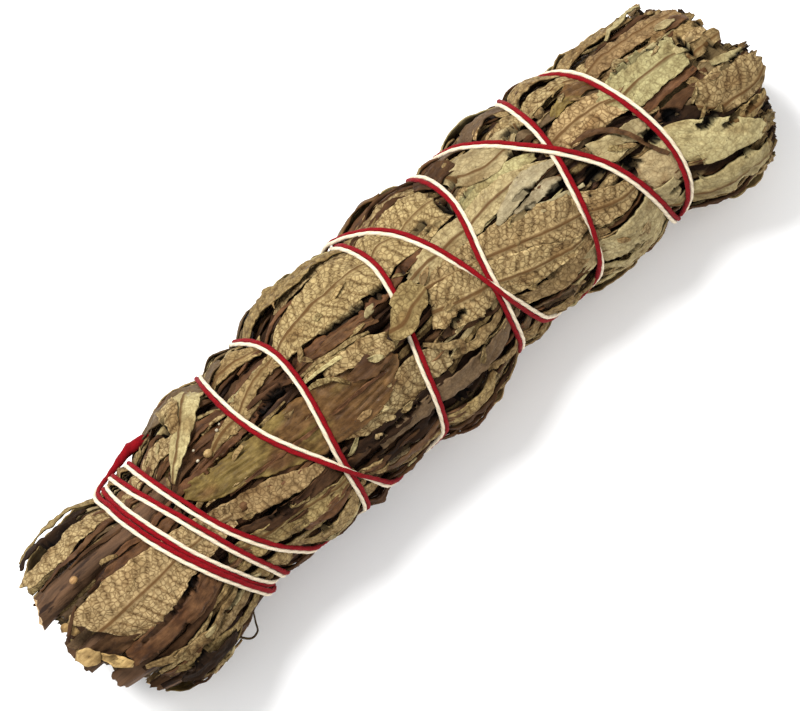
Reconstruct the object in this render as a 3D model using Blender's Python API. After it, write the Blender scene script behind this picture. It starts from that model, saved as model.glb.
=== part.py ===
"""A smudge stick: ten dried yerba santa sprigs, bundled and bound with a red and a white thread.

The bundle lies along X with its cut stems at -X and its leaf tips at +X, on the plane z = 0.
Lengths below are millimetres and become metres where the meshes are made.
Around the bundle, an angle of 0 is +Y, 90 the top, 180 -Y and 270 the side it lies on.
"""

import math
import random

import bmesh
import bpy
import numpy as np
from mathutils import Vector
from mathutils.bvhtree import BVHTree

MM = 0.001

# Bundle: its radius and the sideways place of its middle, at distances along it
RADIUS = (
    (-82, 15.4), (-68, 17.3), (-53, 15.6), (-42, 17.0), (-25, 17.4), (-12, 18.1), (2, 18.2), (12, 17.3),
    (21, 16.3), (32, 16.8), (42, 16.7), (52, 15.7), (62, 16.2), (72, 15.0), (82, 11.0),
)
MIDDLE = (
    (-82, -2.4), (-60, -2.8), (-45, 0.0), (-25, 0.2), (-12, 1.4), (0, 0.6), (12, 2.2), (26, 2.0), (40, 1.3),
    (50, 0.8), (60, -1.2), (80, -1.8),
)
AXIS_HEIGHT = 19.0
BULGE, BULGE_REACH = 1.2, 5.0
PRESSED_SKIN, PRESSED_GROOVE, PRESSED_FROM, PRESSED_TO = 0.85, 5.5, 5.0, 8.0
SETTLED_FROM, SETTLED_TO = 0.86, 0.97
LOOK_ANGLE, SEEN_HEIGHT, SEEN_LIMIT = 12.6, 0.4, 0.97
FLOOR_BLOCK = ((-100, 100), (-40, 40), (-30, 0))

# Sprigs
SPRIGS = 9
FIRST_ANGLE = 30.0
SECTOR = 360.0 / SPRIGS
OVER = (1, 0, 0, 0, 0, 1, 0, 1, 1)
BORDER_SWAY = 3.0
OVERLAP = 2.4
CORE_START, CORE_END = -69.0, 63.0
CORE_DEPTH, CORE_INNER, CORE_GAP = 2.5, 7.3, 0.35
CORE_SHOULDER, CORE_END_DROP, CORE_ROUGH, CORE_PLEAT = 0.5, 2.5, 0.2, 0.25
MIDDLE_CORE, MIDDLE_SIDES, MIDDLE_ROUGH = 6.4, 12, 0.1

# Leaves
THICK = 0.72
LAYERS = (-0.5, 0.4)
RIB = 0.42
ROOT_HEIGHT = -3.3
OVER_HEIGHT, OVER_REACH, OVER_SLOPE = 0.55, 1.2, 0.6
UNDER_HEIGHT, UNDER_REACH, UNDER_SLOPE = -1.25, 0.9, 0.5
ROW_STEP = 10.0
ROOT_SHARE, ROOT_INSET = 0.22, 0.6
OWN_INSET, OWN_LIFT = 0.5, 0.14
EDGE_WAVE, EDGE_TOOTH = 0.16, 0.14
CUT_WIDTH, CUT_WIDENING, TIP_NARROWING = 0.3, 2.2, 0.25
WHOLE_WIDTH, WIDEST, FULLNESS = 0.14, 0.85, 0.7

# Threads
STRAND = 0.42
PAIR = 0.56
CLEAR = 0.3
RISE = 2 * STRAND + CLEAR + 0.2
BESIDE = 2 * (PAIR + STRAND) + 0.3
TURN_LENGTH = 112.0
THREAD_STEP, COARSE, TAIL_COARSE, TAIL_STEPS = 1.05, 7, 2, 18
START_SIDE = 180.0 + LOOK_ANGLE
THREAD_SIDES, TAUT_REACH, RAY_START = 5, 14, 60.0
KNOT = (0.5, 1.0, 1.25, 1.05, 0.5)

# The route of the two threads: half turns from the start, and millimetres along the bundle.
# A whole even number is at the lower edge of the bundle as seen from above, an odd one at the upper.
ROUTE = (
    (0, -44.6), (1, -57.0), (1.75, -38.5), (2, -26.6), (2.32, -22.8), (2.68, -18.7), (3, -23.5),
    (3.74, -18.5), (4, -8.5), (4.34, -2.0), (4.68, 4.3), (5, 1.2), (5.57, 13.0), (6, 14.0),
    (6.41, 18.0), (6.68, 22.0), (7, 19.5), (7.6, 20.0), (7.8, 22.5), (8, 29.9), (8.4, 38.0),
    (8.64, 41.0), (9, 40.0), (10, 50.9), (10.42, 57.0), (10.75, 54.0), (11, 48.5), (11.6, 51.0),
    (12, 49.6), (12.46, 46.0), (12.7, 36.0), (13, 25.4), (13.6, 26.0), (13.8, 25.5), (14, 21.8),
    (14.42, 17.0), (14.7, 11.5), (15, 0.8), (15.57, -13.0), (15.76, -13.0), (16, -18.0),
    (16.28, -22.5), (16.6, -30.5), (17, -32.0), (17.5, -31.4), (18, -35.6), (18.5, -47.0),
    (19, -51.8), (20, -42.2), (21, -54.6), (22, -47.0), (22.8, -58.9), (22.95, -58.9),
    (23, -56.5), (23, -47.0),
)

# Where the pair turns over, in half turns along the route, and which strand is ahead after it
TWISTS = (
    (0, 0), (5.0, 0), (5.3, 1), (8.15, 1), (8.45, 0), (9.0, 0), (9.3, 1), (11.0, 1), (11.3, 0),
    (13.0, 0), (13.3, 1), (14.25, 1), (14.6, 0), (16.1, 0), (16.5, 1), (17.0, 1), (17.3, 0), (23, 0),
)

# Leaves seen from above: sprig, root (x, y) and tip (x, y), width, and how the tip ends.
# y is the distance to the side of the axis at which the leaf is seen.
SEEN = (
    (0, (-48, 16.5), (-77, 16.9), 7, "cut"),
    (0, (-52, 17.0), (-29, 18.4), 9, "whole"),
    (0, (-30, 18.6), (1, 19.0), 10, "whole"),
    (0, (-4, 18.6), (23, 18.8), 9, "whole"),
    (0, (18, 18.8), (43, 17.8), 9, "whole"),
    (0, (36, 17.6), (61, 16.2), 8, "whole"),
    (0, (50, 16.6), (72, 14.6), 8, "cut"),
    (1, (-47, 12.6), (-79, 13.0), 6, "cut"),
    (1, (-50, 8.0), (-31, 15.0), 7, "whole"),
    (1, (-40, 8.5), (21, 13.2), 13, "whole"),
    (1, (-22, 7.5), (0, 5.8), 5, "whole"),
    (1, (17, 8.5), (33, 9.5), 9, "whole"),
    (1, (26, 14.5), (53, 14.6), 6, "whole"),
    (1, (38, 8.0), (58, 6.6), 9, "whole"),
    (1, (46, 6.0), (69, 5.4), 9, "cut"),
    (1, (50, 12.6), (75, 11.6), 8, "cut"),
    (2, (-44, -2.2), (-76, -3.2), 12, "cut"),
    (2, (-50, 2.6), (-1, -1.2), 10, "whole"),
    (2, (-46, -2.0), (-23, -7.2), 6, "whole"),
    (2, (-22, -5.8), (2, -8.0), 7, "whole"),
    (2, (-3, 1.6), (24, -5.0), 10, "whole"),
    (2, (17, 1.2), (49, -7.4), 11, "whole"),
    (2, (42, 2.0), (59, -2.0), 8, "whole"),
    (2, (48, -5.5), (62, -8.0), 8, "whole"),
    (2, (58, -3.6), (79, -6.4), 9, "cut"),
    (3, (-48, -14.0), (-72, -13.2), 6, "cut"),
    (3, (-50, -10.5), (-24, -12.6), 7, "whole"),
    (3, (-42, -14.8), (-22, -15.0), 6, "whole"),
    (3, (-24, -11.8), (18, -12.4), 6, "whole"),
    (3, (6, -9.6), (37, -10.4), 7, "whole"),
    (3, (30, -12.0), (53, -12.6), 9, "whole"),
    (3, (49, -9.4), (73, -13.6), 10, "cut"),
    (4, (-44, -18.4), (-69, -19.0), 8, "cut"),
    (4, (-50, -17.4), (-27, -17.8), 8, "whole"),
    (4, (-31, -17.0), (-5, -17.6), 8, "whole"),
    (4, (-10, -17.2), (13, -15.8), 8, "whole"),
    (4, (8, -15.2), (36, -15.6), 9, "whole"),
    (4, (33, -15.8), (56, -15.6), 8, "whole"),
    (4, (46, -15.2), (71, -18.6), 9, "cut"),
)

# Leaves of the sprigs that lie out of sight: root and tip along the bundle, and width
HIDDEN = (
    (-50, -77, 11, "cut"), (-52, -20, 12, "whole"), (-27, 24, 13, "whole"), (12, 47, 12, "whole"),
    (30, 60, 12, "whole"), (46, 72, 11, "cut"),
)
HIDDEN_SHIFT, HIDDEN_TURN = 2.0, 4.0
UNDERSIDE, UNDERSIDE_LAYER = 6, 0.8
REST_ROWS = (-5.0, 5.0)

# Leaves inside a sprig that show only at the ends: distance from the axis, width, start and end
INNER = (
    (13.2, 5.4, -66, -76), (9.8, 4.0, -66, -75), (14.2, 5.8, 59, 73), (11.6, 4.6, 59, 76),
    (9.2, 3.6, 59, 78),
)
INNER_WIDTHS, INNER_BOW = (1.0, 1.1, 0.75), 0.5
INNER_SHORTER, INNER_LONGER, INNER_TURN = 2.0, 1.0, 1.0

# Leaves inside the middle sprig, three times round it: angle, distance, width, start and end
MIDDLE_LEAVES = ((40, 5.2, 5.0, -66, -76), (100, 5.2, 5.0, 60, 77), (40, 3.0, 3.2, 60, 78))
MIDDLE_SCATTER = 2.0

# Stems: angle and depth of the cut end under the skin, radius, and how far along the stem ends
STEMS = (
    (27, 5.5, 1.7, 20), (66, 1.9, 2.5, 34), (112, 4.2, 2.6, 30), (139, 2.2, 1.9, 26),
    (188, 3.4, 1.5, 20), (232, 5.0, 2.2, 30), (268, 4.8, 2.3, 34), (312, 4.6, 1.8, 22),
    (352, 4.0, 2.1, 28),
)
STEM_STARTS = (-75, -80, -79, -77, -74, -77, -76, -75, -78)
STEM_SINKS_TO, STEM_SINK_FROM, STEM_SINK_TO = 5.6, -56.0, -34.0
STEM_SIDES, STEM_RINGS = 7, 7
STEM_TAPER, CUT_SLANT, HOLE_PAST = 0.35, 0.5, 5.0
MIDDLE_STEM, MIDDLE_STEM_START, MIDDLE_STEM_END = 2.9, -80, 40

COLOURS = {"leaf": (0.42, 0.34, 0.19), "bark": (0.13, 0.07, 0.04), "red": (0.45, 0.01, 0.02),
           "white": (0.86, 0.80, 0.68)}


def along(knots, x):
    """The value at x of a smooth line through the knots."""
    xs = np.array([k[0] for k in knots], float)
    ys = np.array([k[1] for k in knots], float)
    x = np.clip(np.asarray(x, float), xs[0], xs[-1])
    i = np.clip(np.searchsorted(xs, x, side="right") - 1, 0, len(xs) - 2)
    slopes = np.gradient(ys, xs)
    step = xs[i + 1] - xs[i]
    t = (x - xs[i]) / step
    rise = (2 * t**3 - 3 * t**2 + 1) * ys[i] + (3 * t**2 - 2 * t**3) * ys[i + 1]
    return rise + step * ((t**3 - 2 * t**2 + t) * slopes[i] + (t**3 - t**2) * slopes[i + 1])


def eased(value, start, end):
    """0 before start, 1 after end, and a smooth rise between them."""
    t = np.clip((value - start) / (end - start), 0, 1)
    return t * t * (3 - 2 * t)


def route_points(step):
    """Points along the binding, in the order in which it was wound: x, angle and the pair's twist."""
    turns = np.array([knot[0] for knot in ROUTE], float)
    places = np.array([knot[1] for knot in ROUTE], float)
    lengths = np.hypot(np.diff(places), np.diff(turns) * TURN_LENGTH / 2)
    run = np.concatenate([[0.0], np.cumsum(lengths)])
    at = np.arange(0, run[-1], step)
    x = along(np.stack([run, places], axis=1), at)
    turn = along(np.stack([run, turns], axis=1), at)
    return x, START_SIDE - 180.0 * turn, np.interp(turn, *np.transpose(TWISTS))


ROUTE_X, ROUTE_ANGLE, _ = route_points(3.0)


def thread_distance(x, angle):
    """How far a point of the skin is from the nearest thread, over the surface."""
    x, angle = np.broadcast_arrays(np.asarray(x, float), np.asarray(angle, float))
    dx = x[..., None] - ROUTE_X
    turn = (angle[..., None] - ROUTE_ANGLE + 180.0) % 360.0 - 180.0
    return np.sqrt(dx**2 + (np.radians(turn) * RADIUS[0][1]) ** 2).min(axis=-1)


def skin(x, angle):
    """Radius of the bundle's outer leaf layer: swollen between the threads and pressed flat underneath."""
    distance = thread_distance(x, angle)
    radius = along(RADIUS, x) + BULGE * (1 - np.exp(-((distance / BULGE_REACH) ** 2)))
    down = np.clip(-np.sin(np.radians(angle)), 0.05, 1)
    groove = PRESSED_GROOVE * (1 - eased(distance, PRESSED_FROM, PRESSED_TO))
    pressed = AXIS_HEIGHT - PRESSED_SKIN - groove
    settled = eased(down, SETTLED_FROM, SETTLED_TO)
    radius = radius + (np.maximum(radius, pressed / down) - radius) * settled
    return np.minimum(radius, pressed / down)


def place(x, angle, height):
    """Points in space from places on the skin and heights over it."""
    x, angle, height = np.broadcast_arrays(*(np.asarray(v, float) for v in (x, angle, height)))
    reach = skin(x, angle) + height
    turn = np.radians(angle)
    y = along(MIDDLE, x) + reach * np.cos(turn)
    z = AXIS_HEIGHT + reach * np.sin(turn)
    return np.stack([x, y, z], axis=-1)


def seen_angle(x, y):
    """Angle round the bundle at which a point seen at a distance y from the axis lies."""
    reach = float(skin(x, 90.0)) + SEEN_HEIGHT
    share = (y - float(along(MIDDLE, x))) / reach
    return LOOK_ANGLE + math.degrees(math.acos(max(-SEEN_LIMIT, min(SEEN_LIMIT, share))))


def border(number, x):
    """Angle of the border after a sprig, which sways a little along the bundle."""
    base = FIRST_ANGLE + SECTOR * (number + 0.5)
    return base + BORDER_SWAY * np.sin(np.asarray(x, float) / 17.0 + 2.1 * (number % SPRIGS))


def mesh_object(name, points, faces, colour=None):
    """A closed mesh with its faces pointing out, from points in millimetres."""
    mesh = bpy.data.meshes.new(name)
    mesh.from_pydata([Vector(p) * MM for p in points], [], faces)
    shell = bmesh.new()
    shell.from_mesh(mesh)
    bmesh.ops.recalc_face_normals(shell, faces=shell.faces)
    bmesh.ops.triangulate(shell, faces=shell.faces)
    shell.to_mesh(mesh)
    shell.free()
    made = bpy.data.objects.new(name, mesh)
    bpy.context.scene.collection.objects.link(made)
    if colour:
        made.data.materials.append(material(colour))
    return made


def material(name):
    """The material of that name, made when it is first asked for."""
    found = bpy.data.materials.get(name)
    if found:
        return found
    made = bpy.data.materials.new(name)
    made.use_nodes = True
    shader = made.node_tree.nodes["Principled BSDF"]
    shader.inputs["Base Color"].default_value = (*COLOURS[name], 1)
    shader.inputs["Roughness"].default_value = 0.85
    shader.inputs["Metallic"].default_value = 0.0
    return made


def half_width(share, ending):
    """Half of a leaf's width at a share of its length, where 1 is half of its full width."""
    if ending == "cut":
        return min(1.0, CUT_WIDTH + CUT_WIDENING * share) * (1.0 - TIP_NARROWING * share**6)
    return max(WHOLE_WIDTH, math.sin(math.pi * share**WIDEST) ** FULLNESS)


def leaf_height(angle, x, sprig, layer):
    """Height of a leaf over the skin, so that at a border the sprig that lies over clears the one under."""
    reach = math.radians(1.0) * float(skin(x, angle))
    height = layer
    for side in (-1, 1):
        number = sprig - 1 if side < 0 else sprig
        inside = -side * (angle - float(border(number, x))) * reach
        over = (OVER[number % SPRIGS] == 0) == (side > 0)
        if over:
            height = max(height, OVER_HEIGHT - OVER_SLOPE * max(0.0, inside - OVER_REACH))
        else:
            sunk = max(0.0, inside - OVERLAP - UNDER_REACH)
            height = min(height, UNDER_HEIGHT + UNDER_SLOPE * sunk)
    return height


def kept_inside(angle, x, sprig, lifted, own):
    """The angle brought back to where a leaf of this sprig may reach, which is less where it is sunk."""
    degree = math.radians(1.0) * float(skin(x, angle))
    over_low = lifted and OVER[(sprig - 1) % SPRIGS] == 1
    over_high = lifted and OVER[sprig % SPRIGS] == 0
    low = float(border(sprig - 1, x)) + (OWN_INSET * own + (-OVERLAP if over_low else ROOT_INSET)) / degree
    high = float(border(sprig, x)) - (OWN_INSET * own + (-OVERLAP if over_high else ROOT_INSET)) / degree
    return max(low, min(high, angle))


def row_places(start, end, shift=0.0, extra=()):
    """Places of a leaf's rows: its two ends, and between them planes that all leaves nearly share."""
    low, high = sorted((start, end))
    margin = ROW_STEP / 3
    planes = sorted(k + shift for k in (*np.arange(-100, 101, ROW_STEP), *extra))
    rows = [low, *[x for x in planes if low + margin < x < high - margin], high]
    return rows if start < end else rows[::-1]


def grid_blade(name, outer, inner):
    """A thin leaf from two grids of points, one for each face, split alike on both."""
    rows, columns = outer.shape[:2]
    points = np.concatenate([outer.reshape(-1, 3), inner.reshape(-1, 3)])
    back = rows * columns
    faces = []
    for i in range(rows - 1):
        for j in range(columns - 1):
            a, b = i * columns + j, i * columns + j + 1
            c, d = b + columns, a + columns
            faces += [(a, b, c), (a, c, d)]
            faces += [(back + a, back + c, back + b), (back + a, back + d, back + c)]
    rim = [j for j in range(columns)]
    rim += [i * columns + columns - 1 for i in range(1, rows)]
    rim += [(rows - 1) * columns + j for j in range(columns - 2, -1, -1)]
    rim += [i * columns for i in range(rows - 2, 0, -1)]
    for a, b in zip(rim, rim[1:] + rim[:1]):
        faces += [(a, b, back + b), (a, back + b, back + a)]
    return mesh_object(name, points, faces)


def leaf(name, sprig, root, tip, width, ending, layer, own):
    """A leaf lying along the bundle. Root and tip are (x, angle) on the skin.

    own, from 0 to 1, keeps its edges and faces off those of the sprig's other leaves.
    """
    outer, inner = [], []
    rows = row_places(root[0], tip[0], own - 0.5, REST_ROWS if sprig == UNDERSIDE else ())
    lifted_from = ROOT_SHARE + 1.0 / len(rows)
    for i, x in enumerate(rows):
        share = (x - root[0]) / (tip[0] - root[0])
        wave = (-1) ** round(x / ROW_STEP) if 0 < i < len(rows) - 1 else 0
        half = width / 2 * half_width(share, ending) * (1 + EDGE_TOOTH * wave)
        lift = float(eased(share, 0, ROOT_SHARE))
        line_out, line_in = [], []
        for j in (-1, 0, 1):
            turn = root[1] + (tip[1] - root[1]) * share
            turn += j * half / math.radians(1.0) / float(skin(x, turn))
            turn = kept_inside(turn, x, sprig, share >= lifted_from, own)
            height = leaf_height(turn, x, sprig, layer) + EDGE_WAVE * wave * abs(j) + OWN_LIFT * own
            height = ROOT_HEIGHT + (height - ROOT_HEIGHT) * lift
            rib = 0.0 if j else RIB * (1 - 0.6 * share)
            line_out.append(place(x, turn, height + THICK / 2 + rib))
            line_in.append(place(x, turn, height - THICK / 2))
        outer.append(line_out)
        inner.append(line_in)
    return grid_blade(name, np.array(outer), np.array(inner))


def inner_leaf(name, angle, reach, start, end, width):
    """A short leaf inside the bundle that shows only at its end; reach is its distance from the axis."""
    outer, inner = [], []
    for i, share in enumerate((0.0, 0.5, 1.0)):
        x = start + (end - start) * share
        half = width / 2 * INNER_WIDTHS[i]
        line_out, line_in = [], []
        for j in (-1, 0, 1):
            turn = angle + math.degrees(j * half / reach)
            height = reach - float(skin(x, turn)) + INNER_BOW * (1 - abs(j)) * (1 - share)
            line_out.append(place(x, turn, height + THICK / 2))
            line_in.append(place(x, turn, height - THICK / 2))
        outer.append(line_out)
        inner.append(line_in)
    return grid_blade(name, np.array(outer), np.array(inner))


def ring_solid(name, rings, colour=None):
    """A closed solid from rings of points that match, with a fan over each end."""
    count = len(rings[0])
    points = [p for ring in rings for p in ring]
    faces = []
    for k in range(len(rings) - 1):
        for j in range(count):
            a, b = k * count + j, k * count + (j + 1) % count
            faces += [(a, b, b + count), (a, b + count, a + count)]
    for first in (0, (len(rings) - 1) * count):
        middle = np.mean(points[first : first + count], axis=0)
        points.append(middle)
        faces += [(first + j, first + (j + 1) % count, len(points) - 1) for j in range(count)]
    return mesh_object(name, points, faces, colour)


def sprig_core(name, sprig, rng):
    """The inner leaves of a sprig, pressed into one pleated wedge."""
    rings = []
    for x in row_places(CORE_START, CORE_END):
        end = x in (CORE_START, CORE_END)
        low, high = float(border(sprig - 1, x)), float(border(sprig, x))
        ring = []
        for k in range(5):
            share = k / 4
            reach = float(skin(x, low + (high - low) * share)) - CORE_DEPTH
            reach -= CORE_END_DROP if end else 0
            reach -= CORE_SHOULDER if k in (0, 4) else 0
            reach += rng.uniform(-CORE_ROUGH, CORE_ROUGH) + (CORE_PLEAT if k % 2 else -CORE_PLEAT)
            gap = math.degrees(CORE_GAP / reach)
            turn = low + gap + (high - low - 2 * gap) * share
            ring.append(place(x, turn, reach - float(skin(x, turn))))
        for share in (1.0, 0.0):
            gap = math.degrees(CORE_GAP / CORE_INNER)
            turn = low + gap + (high - low - 2 * gap) * share
            ring.append(place(x, turn, CORE_INNER - float(skin(x, turn))))
        rings.append(ring)
    return ring_solid(name, rings)


def stem_rings(sprig, grow):
    """Rings of points along a sprig's stem. A cutter for the stem's hole is grow thicker."""
    angle, depth, radius, end = STEMS[sprig]
    start = STEM_STARTS[sprig]
    centre_angle = FIRST_ANGLE + SECTOR * sprig
    rings = []
    for x in np.linspace(start, end, STEM_RINGS):
        sink = float(eased(x, STEM_SINK_FROM, STEM_SINK_TO))
        turn = math.radians(angle + (centre_angle - angle) * sink)
        reach = float(along(RADIUS, x)) + BULGE / 2 - depth - (STEM_SINKS_TO - depth) * sink
        size = radius * (1 - STEM_TAPER * (x - start) / (end - start)) + grow
        past = grow * HOLE_PAST * (-1 if x == start else 1 if x == end else 0)
        ring = []
        for k in range(STEM_SIDES):
            a = 2 * math.pi * k / STEM_SIDES
            slant = CUT_SLANT * size * math.sin(a + sprig) if x == start else 0.0
            y = float(along(MIDDLE, x)) + reach * math.cos(turn) + size * math.cos(a)
            z = AXIS_HEIGHT + reach * math.sin(turn) + size * math.sin(a)
            ring.append(np.array([x + slant + past, y, z]))
        rings.append(ring)
    return rings


def joined(name, base, others, cutters, colour):
    """One body: the base and the others fused, and what the cutters take cut away."""
    for operation, group in (("UNION", others), ("DIFFERENCE", cutters)):
        operands = bpy.data.collections.new(f"{name}_{operation}")
        for piece in group:
            bpy.context.scene.collection.objects.unlink(piece)
            operands.objects.link(piece)
        fuse = base.modifiers.new(operation, "BOOLEAN")
        fuse.operation = operation
        fuse.operand_type = "COLLECTION"
        fuse.collection = operands
        fuse.solver = "MANIFOLD"
        view = bpy.context.evaluated_depsgraph_get()
        fused = bpy.data.meshes.new_from_object(base.evaluated_get(view))
        base.modifiers.clear()
        base.data = fused
        for piece in group:
            bpy.data.objects.remove(piece)
        bpy.data.collections.remove(operands)
    keep_largest(base.data)
    base.name = name
    base.data.name = name
    base.data.materials.clear()
    base.data.materials.append(material(colour))
    return base


def keep_largest(mesh):
    """Leaves the largest shell, so that sealed hollows are filled and loose scraps are dropped."""
    shell = bmesh.new()
    shell.from_mesh(mesh)
    left = set(shell.verts)
    islands = []
    while left:
        stack = [left.pop()]
        island = set(stack)
        while stack:
            for edge in stack.pop().link_edges:
                for other in edge.verts:
                    if other in left:
                        left.remove(other)
                        island.add(other)
                        stack.append(other)
        islands.append(island)
    islands.sort(key=len)
    for island in islands[:-1]:
        bmesh.ops.delete(shell, geom=list(island), context="VERTS")
    shell.to_mesh(mesh)
    shell.free()


def floor_cutter():
    """A block under the floor, which trims the pressed leaves flat."""
    xs, ys, zs = FLOOR_BLOCK
    points = [(x, y, z) for x in xs for y in ys for z in zs]
    faces = [(0, 1, 3, 2), (4, 5, 7, 6), (0, 1, 5, 4), (2, 3, 7, 6), (0, 2, 6, 4), (1, 3, 7, 5)]
    return mesh_object("floor_cutter", points, faces)


def sprig_leaves(sprig, rng):
    """The fused leaves of one sprig."""
    centre = FIRST_ANGLE + SECTOR * sprig
    blades = []
    for number, root, tip, width, ending in SEEN:
        if number == sprig:
            ends = [(x, seen_angle(x, y)) for x, y in (root, tip)]
            layer, own = rng.uniform(*LAYERS), rng.random()
            blades.append(leaf("blade", sprig, *ends, width, ending, layer, own))
    if not blades:
        for root, tip, width, ending in HIDDEN:
            layer, own = rng.uniform(*LAYERS), rng.random()
            layer = UNDERSIDE_LAYER if sprig == UNDERSIDE else layer
            shift = rng.uniform(-HIDDEN_SHIFT, HIDDEN_SHIFT)
            ends = [(x + shift, centre + rng.uniform(-HIDDEN_TURN, HIDDEN_TURN)) for x in (root, tip)]
            blades.append(leaf("blade", sprig, *ends, width, ending, layer, own))
    for reach, width, start, end in INNER:
        turn = float(border(sprig - 1, end) + border(sprig, end)) / 2
        turn += rng.uniform(-INNER_TURN, INNER_TURN)
        end += rng.uniform(-INNER_SHORTER, INNER_LONGER)
        blades.append(inner_leaf("blade", turn, reach, start, end, width))
    core = sprig_core("core", sprig, rng)
    cutters = [ring_solid("cutter", stem_rings(sprig, CLEAR))]
    if sprig == UNDERSIDE:
        cutters.append(floor_cutter())
    return joined(f"leaves_{sprig + 1}", core, blades, cutters, "leaf")


def middle_rings(places, radii, sides, rng, wobble=0.0):
    """Rings round the middle of the bundle."""
    made = []
    turns = np.arange(sides) * 2 * math.pi / sides
    for x, radius in zip(places, radii):
        reach = radius + rng.uniform(-wobble, wobble)
        centre = np.array([x, float(along(MIDDLE, x)), AXIS_HEIGHT])
        made.append([centre + reach * np.array([0, math.cos(t), math.sin(t)]) for t in turns])
    return made


def middle_sprig(rng):
    """The sprig in the middle of the bundle: its stem and its leaves."""
    places = row_places(CORE_START, CORE_END)
    radii = [MIDDLE_CORE] * len(places)
    core = ring_solid("core", middle_rings(places, radii, MIDDLE_SIDES, rng, MIDDLE_ROUGH))
    blades = []
    for third in (0, 120, 240):
        for turn, reach, width, start, end in MIDDLE_LEAVES:
            end += rng.uniform(-MIDDLE_SCATTER, MIDDLE_SCATTER)
            blades.append(inner_leaf("blade", turn + third, reach, start, end, width))
    places = np.array(row_places(MIDDLE_STEM_START, MIDDLE_STEM_END))
    radii = MIDDLE_STEM * (1 - STEM_TAPER * (places - places[0]) / (places[-1] - places[0]))
    stem = middle_rings(places, radii, STEM_SIDES, rng)
    places[0] -= HOLE_PAST * CLEAR
    places[-1] += HOLE_PAST * CLEAR
    hole = ring_solid("cutter", middle_rings(places, radii + CLEAR, STEM_SIDES, rng))
    joined(f"leaves_{SPRIGS + 1}", core, blades, [hole], "leaf")
    ring_solid(f"stem_{SPRIGS + 1}", stem, "bark")


def surface_reach(tree, x, angle):
    """Distance from the axis to the outermost surface under a thread."""
    turn = math.radians(angle)
    out = Vector((0, math.cos(turn), math.sin(turn)))
    reach = 0.0
    for shift in (-2, -1, 0, 1, 2):
        middle = Vector((x + shift * PAIR, float(along(MIDDLE, x)), AXIS_HEIGHT))
        hit = tree.ray_cast((middle + out * RAY_START) * MM, -out)[0]
        if hit:
            reach = max(reach, (hit / MM - middle).dot(out))
    return reach


def taut(needed, angles, i):
    """Radius at point i of a thread that is pulled tight over the points near it."""
    before, after = slice(max(0, i - TAUT_REACH), i), slice(i + 1, i + TAUT_REACH + 1)
    back = np.abs(np.radians(angles[before] - angles[i]))[:, None] + 1e-6
    on = np.abs(np.radians(angles[after] - angles[i]))[None, :] + 1e-6
    first, last = needed[before][:, None], needed[after][None, :]
    chords = first * last * np.sin(back + on) / (first * np.sin(back) + last * np.sin(on))
    return max(needed[i], chords.max(initial=0.0))


def wound_radii(tree, xs, angles, twists):
    """Distance from the axis of the pair of threads, clear of the leaves and of its earlier turns.

    It is worked out point by point, and drawn with fewer points, so each of those is as far out as
    the tight thread is anywhere near it.
    """
    needed = np.array([surface_reach(tree, x, a) for x, a in zip(xs, angles)]) + STRAND + CLEAR
    stacked = PAIR * np.abs(np.sin(math.pi * twists))
    needed += stacked
    count = len(xs)
    coarse = [*range(0, count - TAIL_STEPS, COARSE), *range(count - TAIL_STEPS, count, TAIL_COARSE)]
    chord = np.cos(np.radians(np.gradient(angles)[coarse]) * np.gradient(coarse) / 2)
    tight, drawn = np.zeros(count), np.zeros(count)
    k = 0
    for i in range(count):
        ahead = min(count - 1, i + TAUT_REACH)
        earlier = slice(0, max(0, ahead - 3 * TAUT_REACH))
        turn = (angles[earlier] - angles[ahead] + 180.0) % 360.0 - 180.0
        near = np.hypot(xs[earlier] - xs[ahead], turn / 360.0 * TURN_LENGTH) < BESIDE
        if near.any():
            crossed = (drawn + stacked)[earlier][near].max()
            needed[ahead] = max(needed[ahead], crossed + RISE + stacked[ahead])
        tight[i] = taut(needed, angles, i)
        while k < len(coarse) and i >= min(count - 1, coarse[k] + COARSE):
            c = coarse[k]
            drawn[c] = tight[max(0, c - COARSE) : c + COARSE + 1].max() / chord[k]
            start = coarse[max(0, k - 1)]
            drawn[start : c + 1] = np.linspace(drawn[start], drawn[c], c + 1 - start)
            k += 1
    return np.array(coarse), drawn[coarse]


def tube(points, radii, sides):
    """Rings of points round a line, for ring_solid."""
    rings = []
    side = np.array([1.0, 0, 0])
    for i, p in enumerate(points):
        ahead = points[min(i + 1, len(points) - 1)] - points[max(i - 1, 0)]
        ahead /= np.linalg.norm(ahead)
        side = side - ahead * side.dot(ahead)
        side /= np.linalg.norm(side)
        lift = np.cross(ahead, side)
        turns = (np.arange(sides) + 0.5) * 2 * math.pi / sides
        rings.append([p + radii[i] * (math.cos(t) * side + math.sin(t) * lift) for t in turns])
    return rings


def threads(tree):
    """The red and the white thread, side by side along one route. The red one ends in its knot."""
    xs, angles, twists = route_points(THREAD_STEP)
    coarse, radii = wound_radii(tree, xs, angles, twists)
    turn = np.radians(angles[coarse])
    out = np.stack([0 * turn, np.cos(turn), np.sin(turn)], axis=-1)
    middle = along(MIDDLE, xs[coarse])
    line = np.stack([xs[coarse], middle, 0 * turn + AXIS_HEIGHT], axis=-1) + out * radii[:, None]
    ahead = np.gradient(line, axis=0)
    side = np.cross(ahead, out)
    side /= np.linalg.norm(side, axis=1)[:, None]
    twist = math.pi * twists[coarse][:, None]
    offset = PAIR * (np.cos(twist) * side + np.sin(twist) * out)
    thickness = np.full(len(line), STRAND)
    ring_solid("white_thread", tube((line - offset)[:-4], thickness, THREAD_SIDES), "white")
    thickness[-len(KNOT):] = KNOT
    ring_solid("red_thread", tube(line + offset, thickness, THREAD_SIDES), "red")


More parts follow.
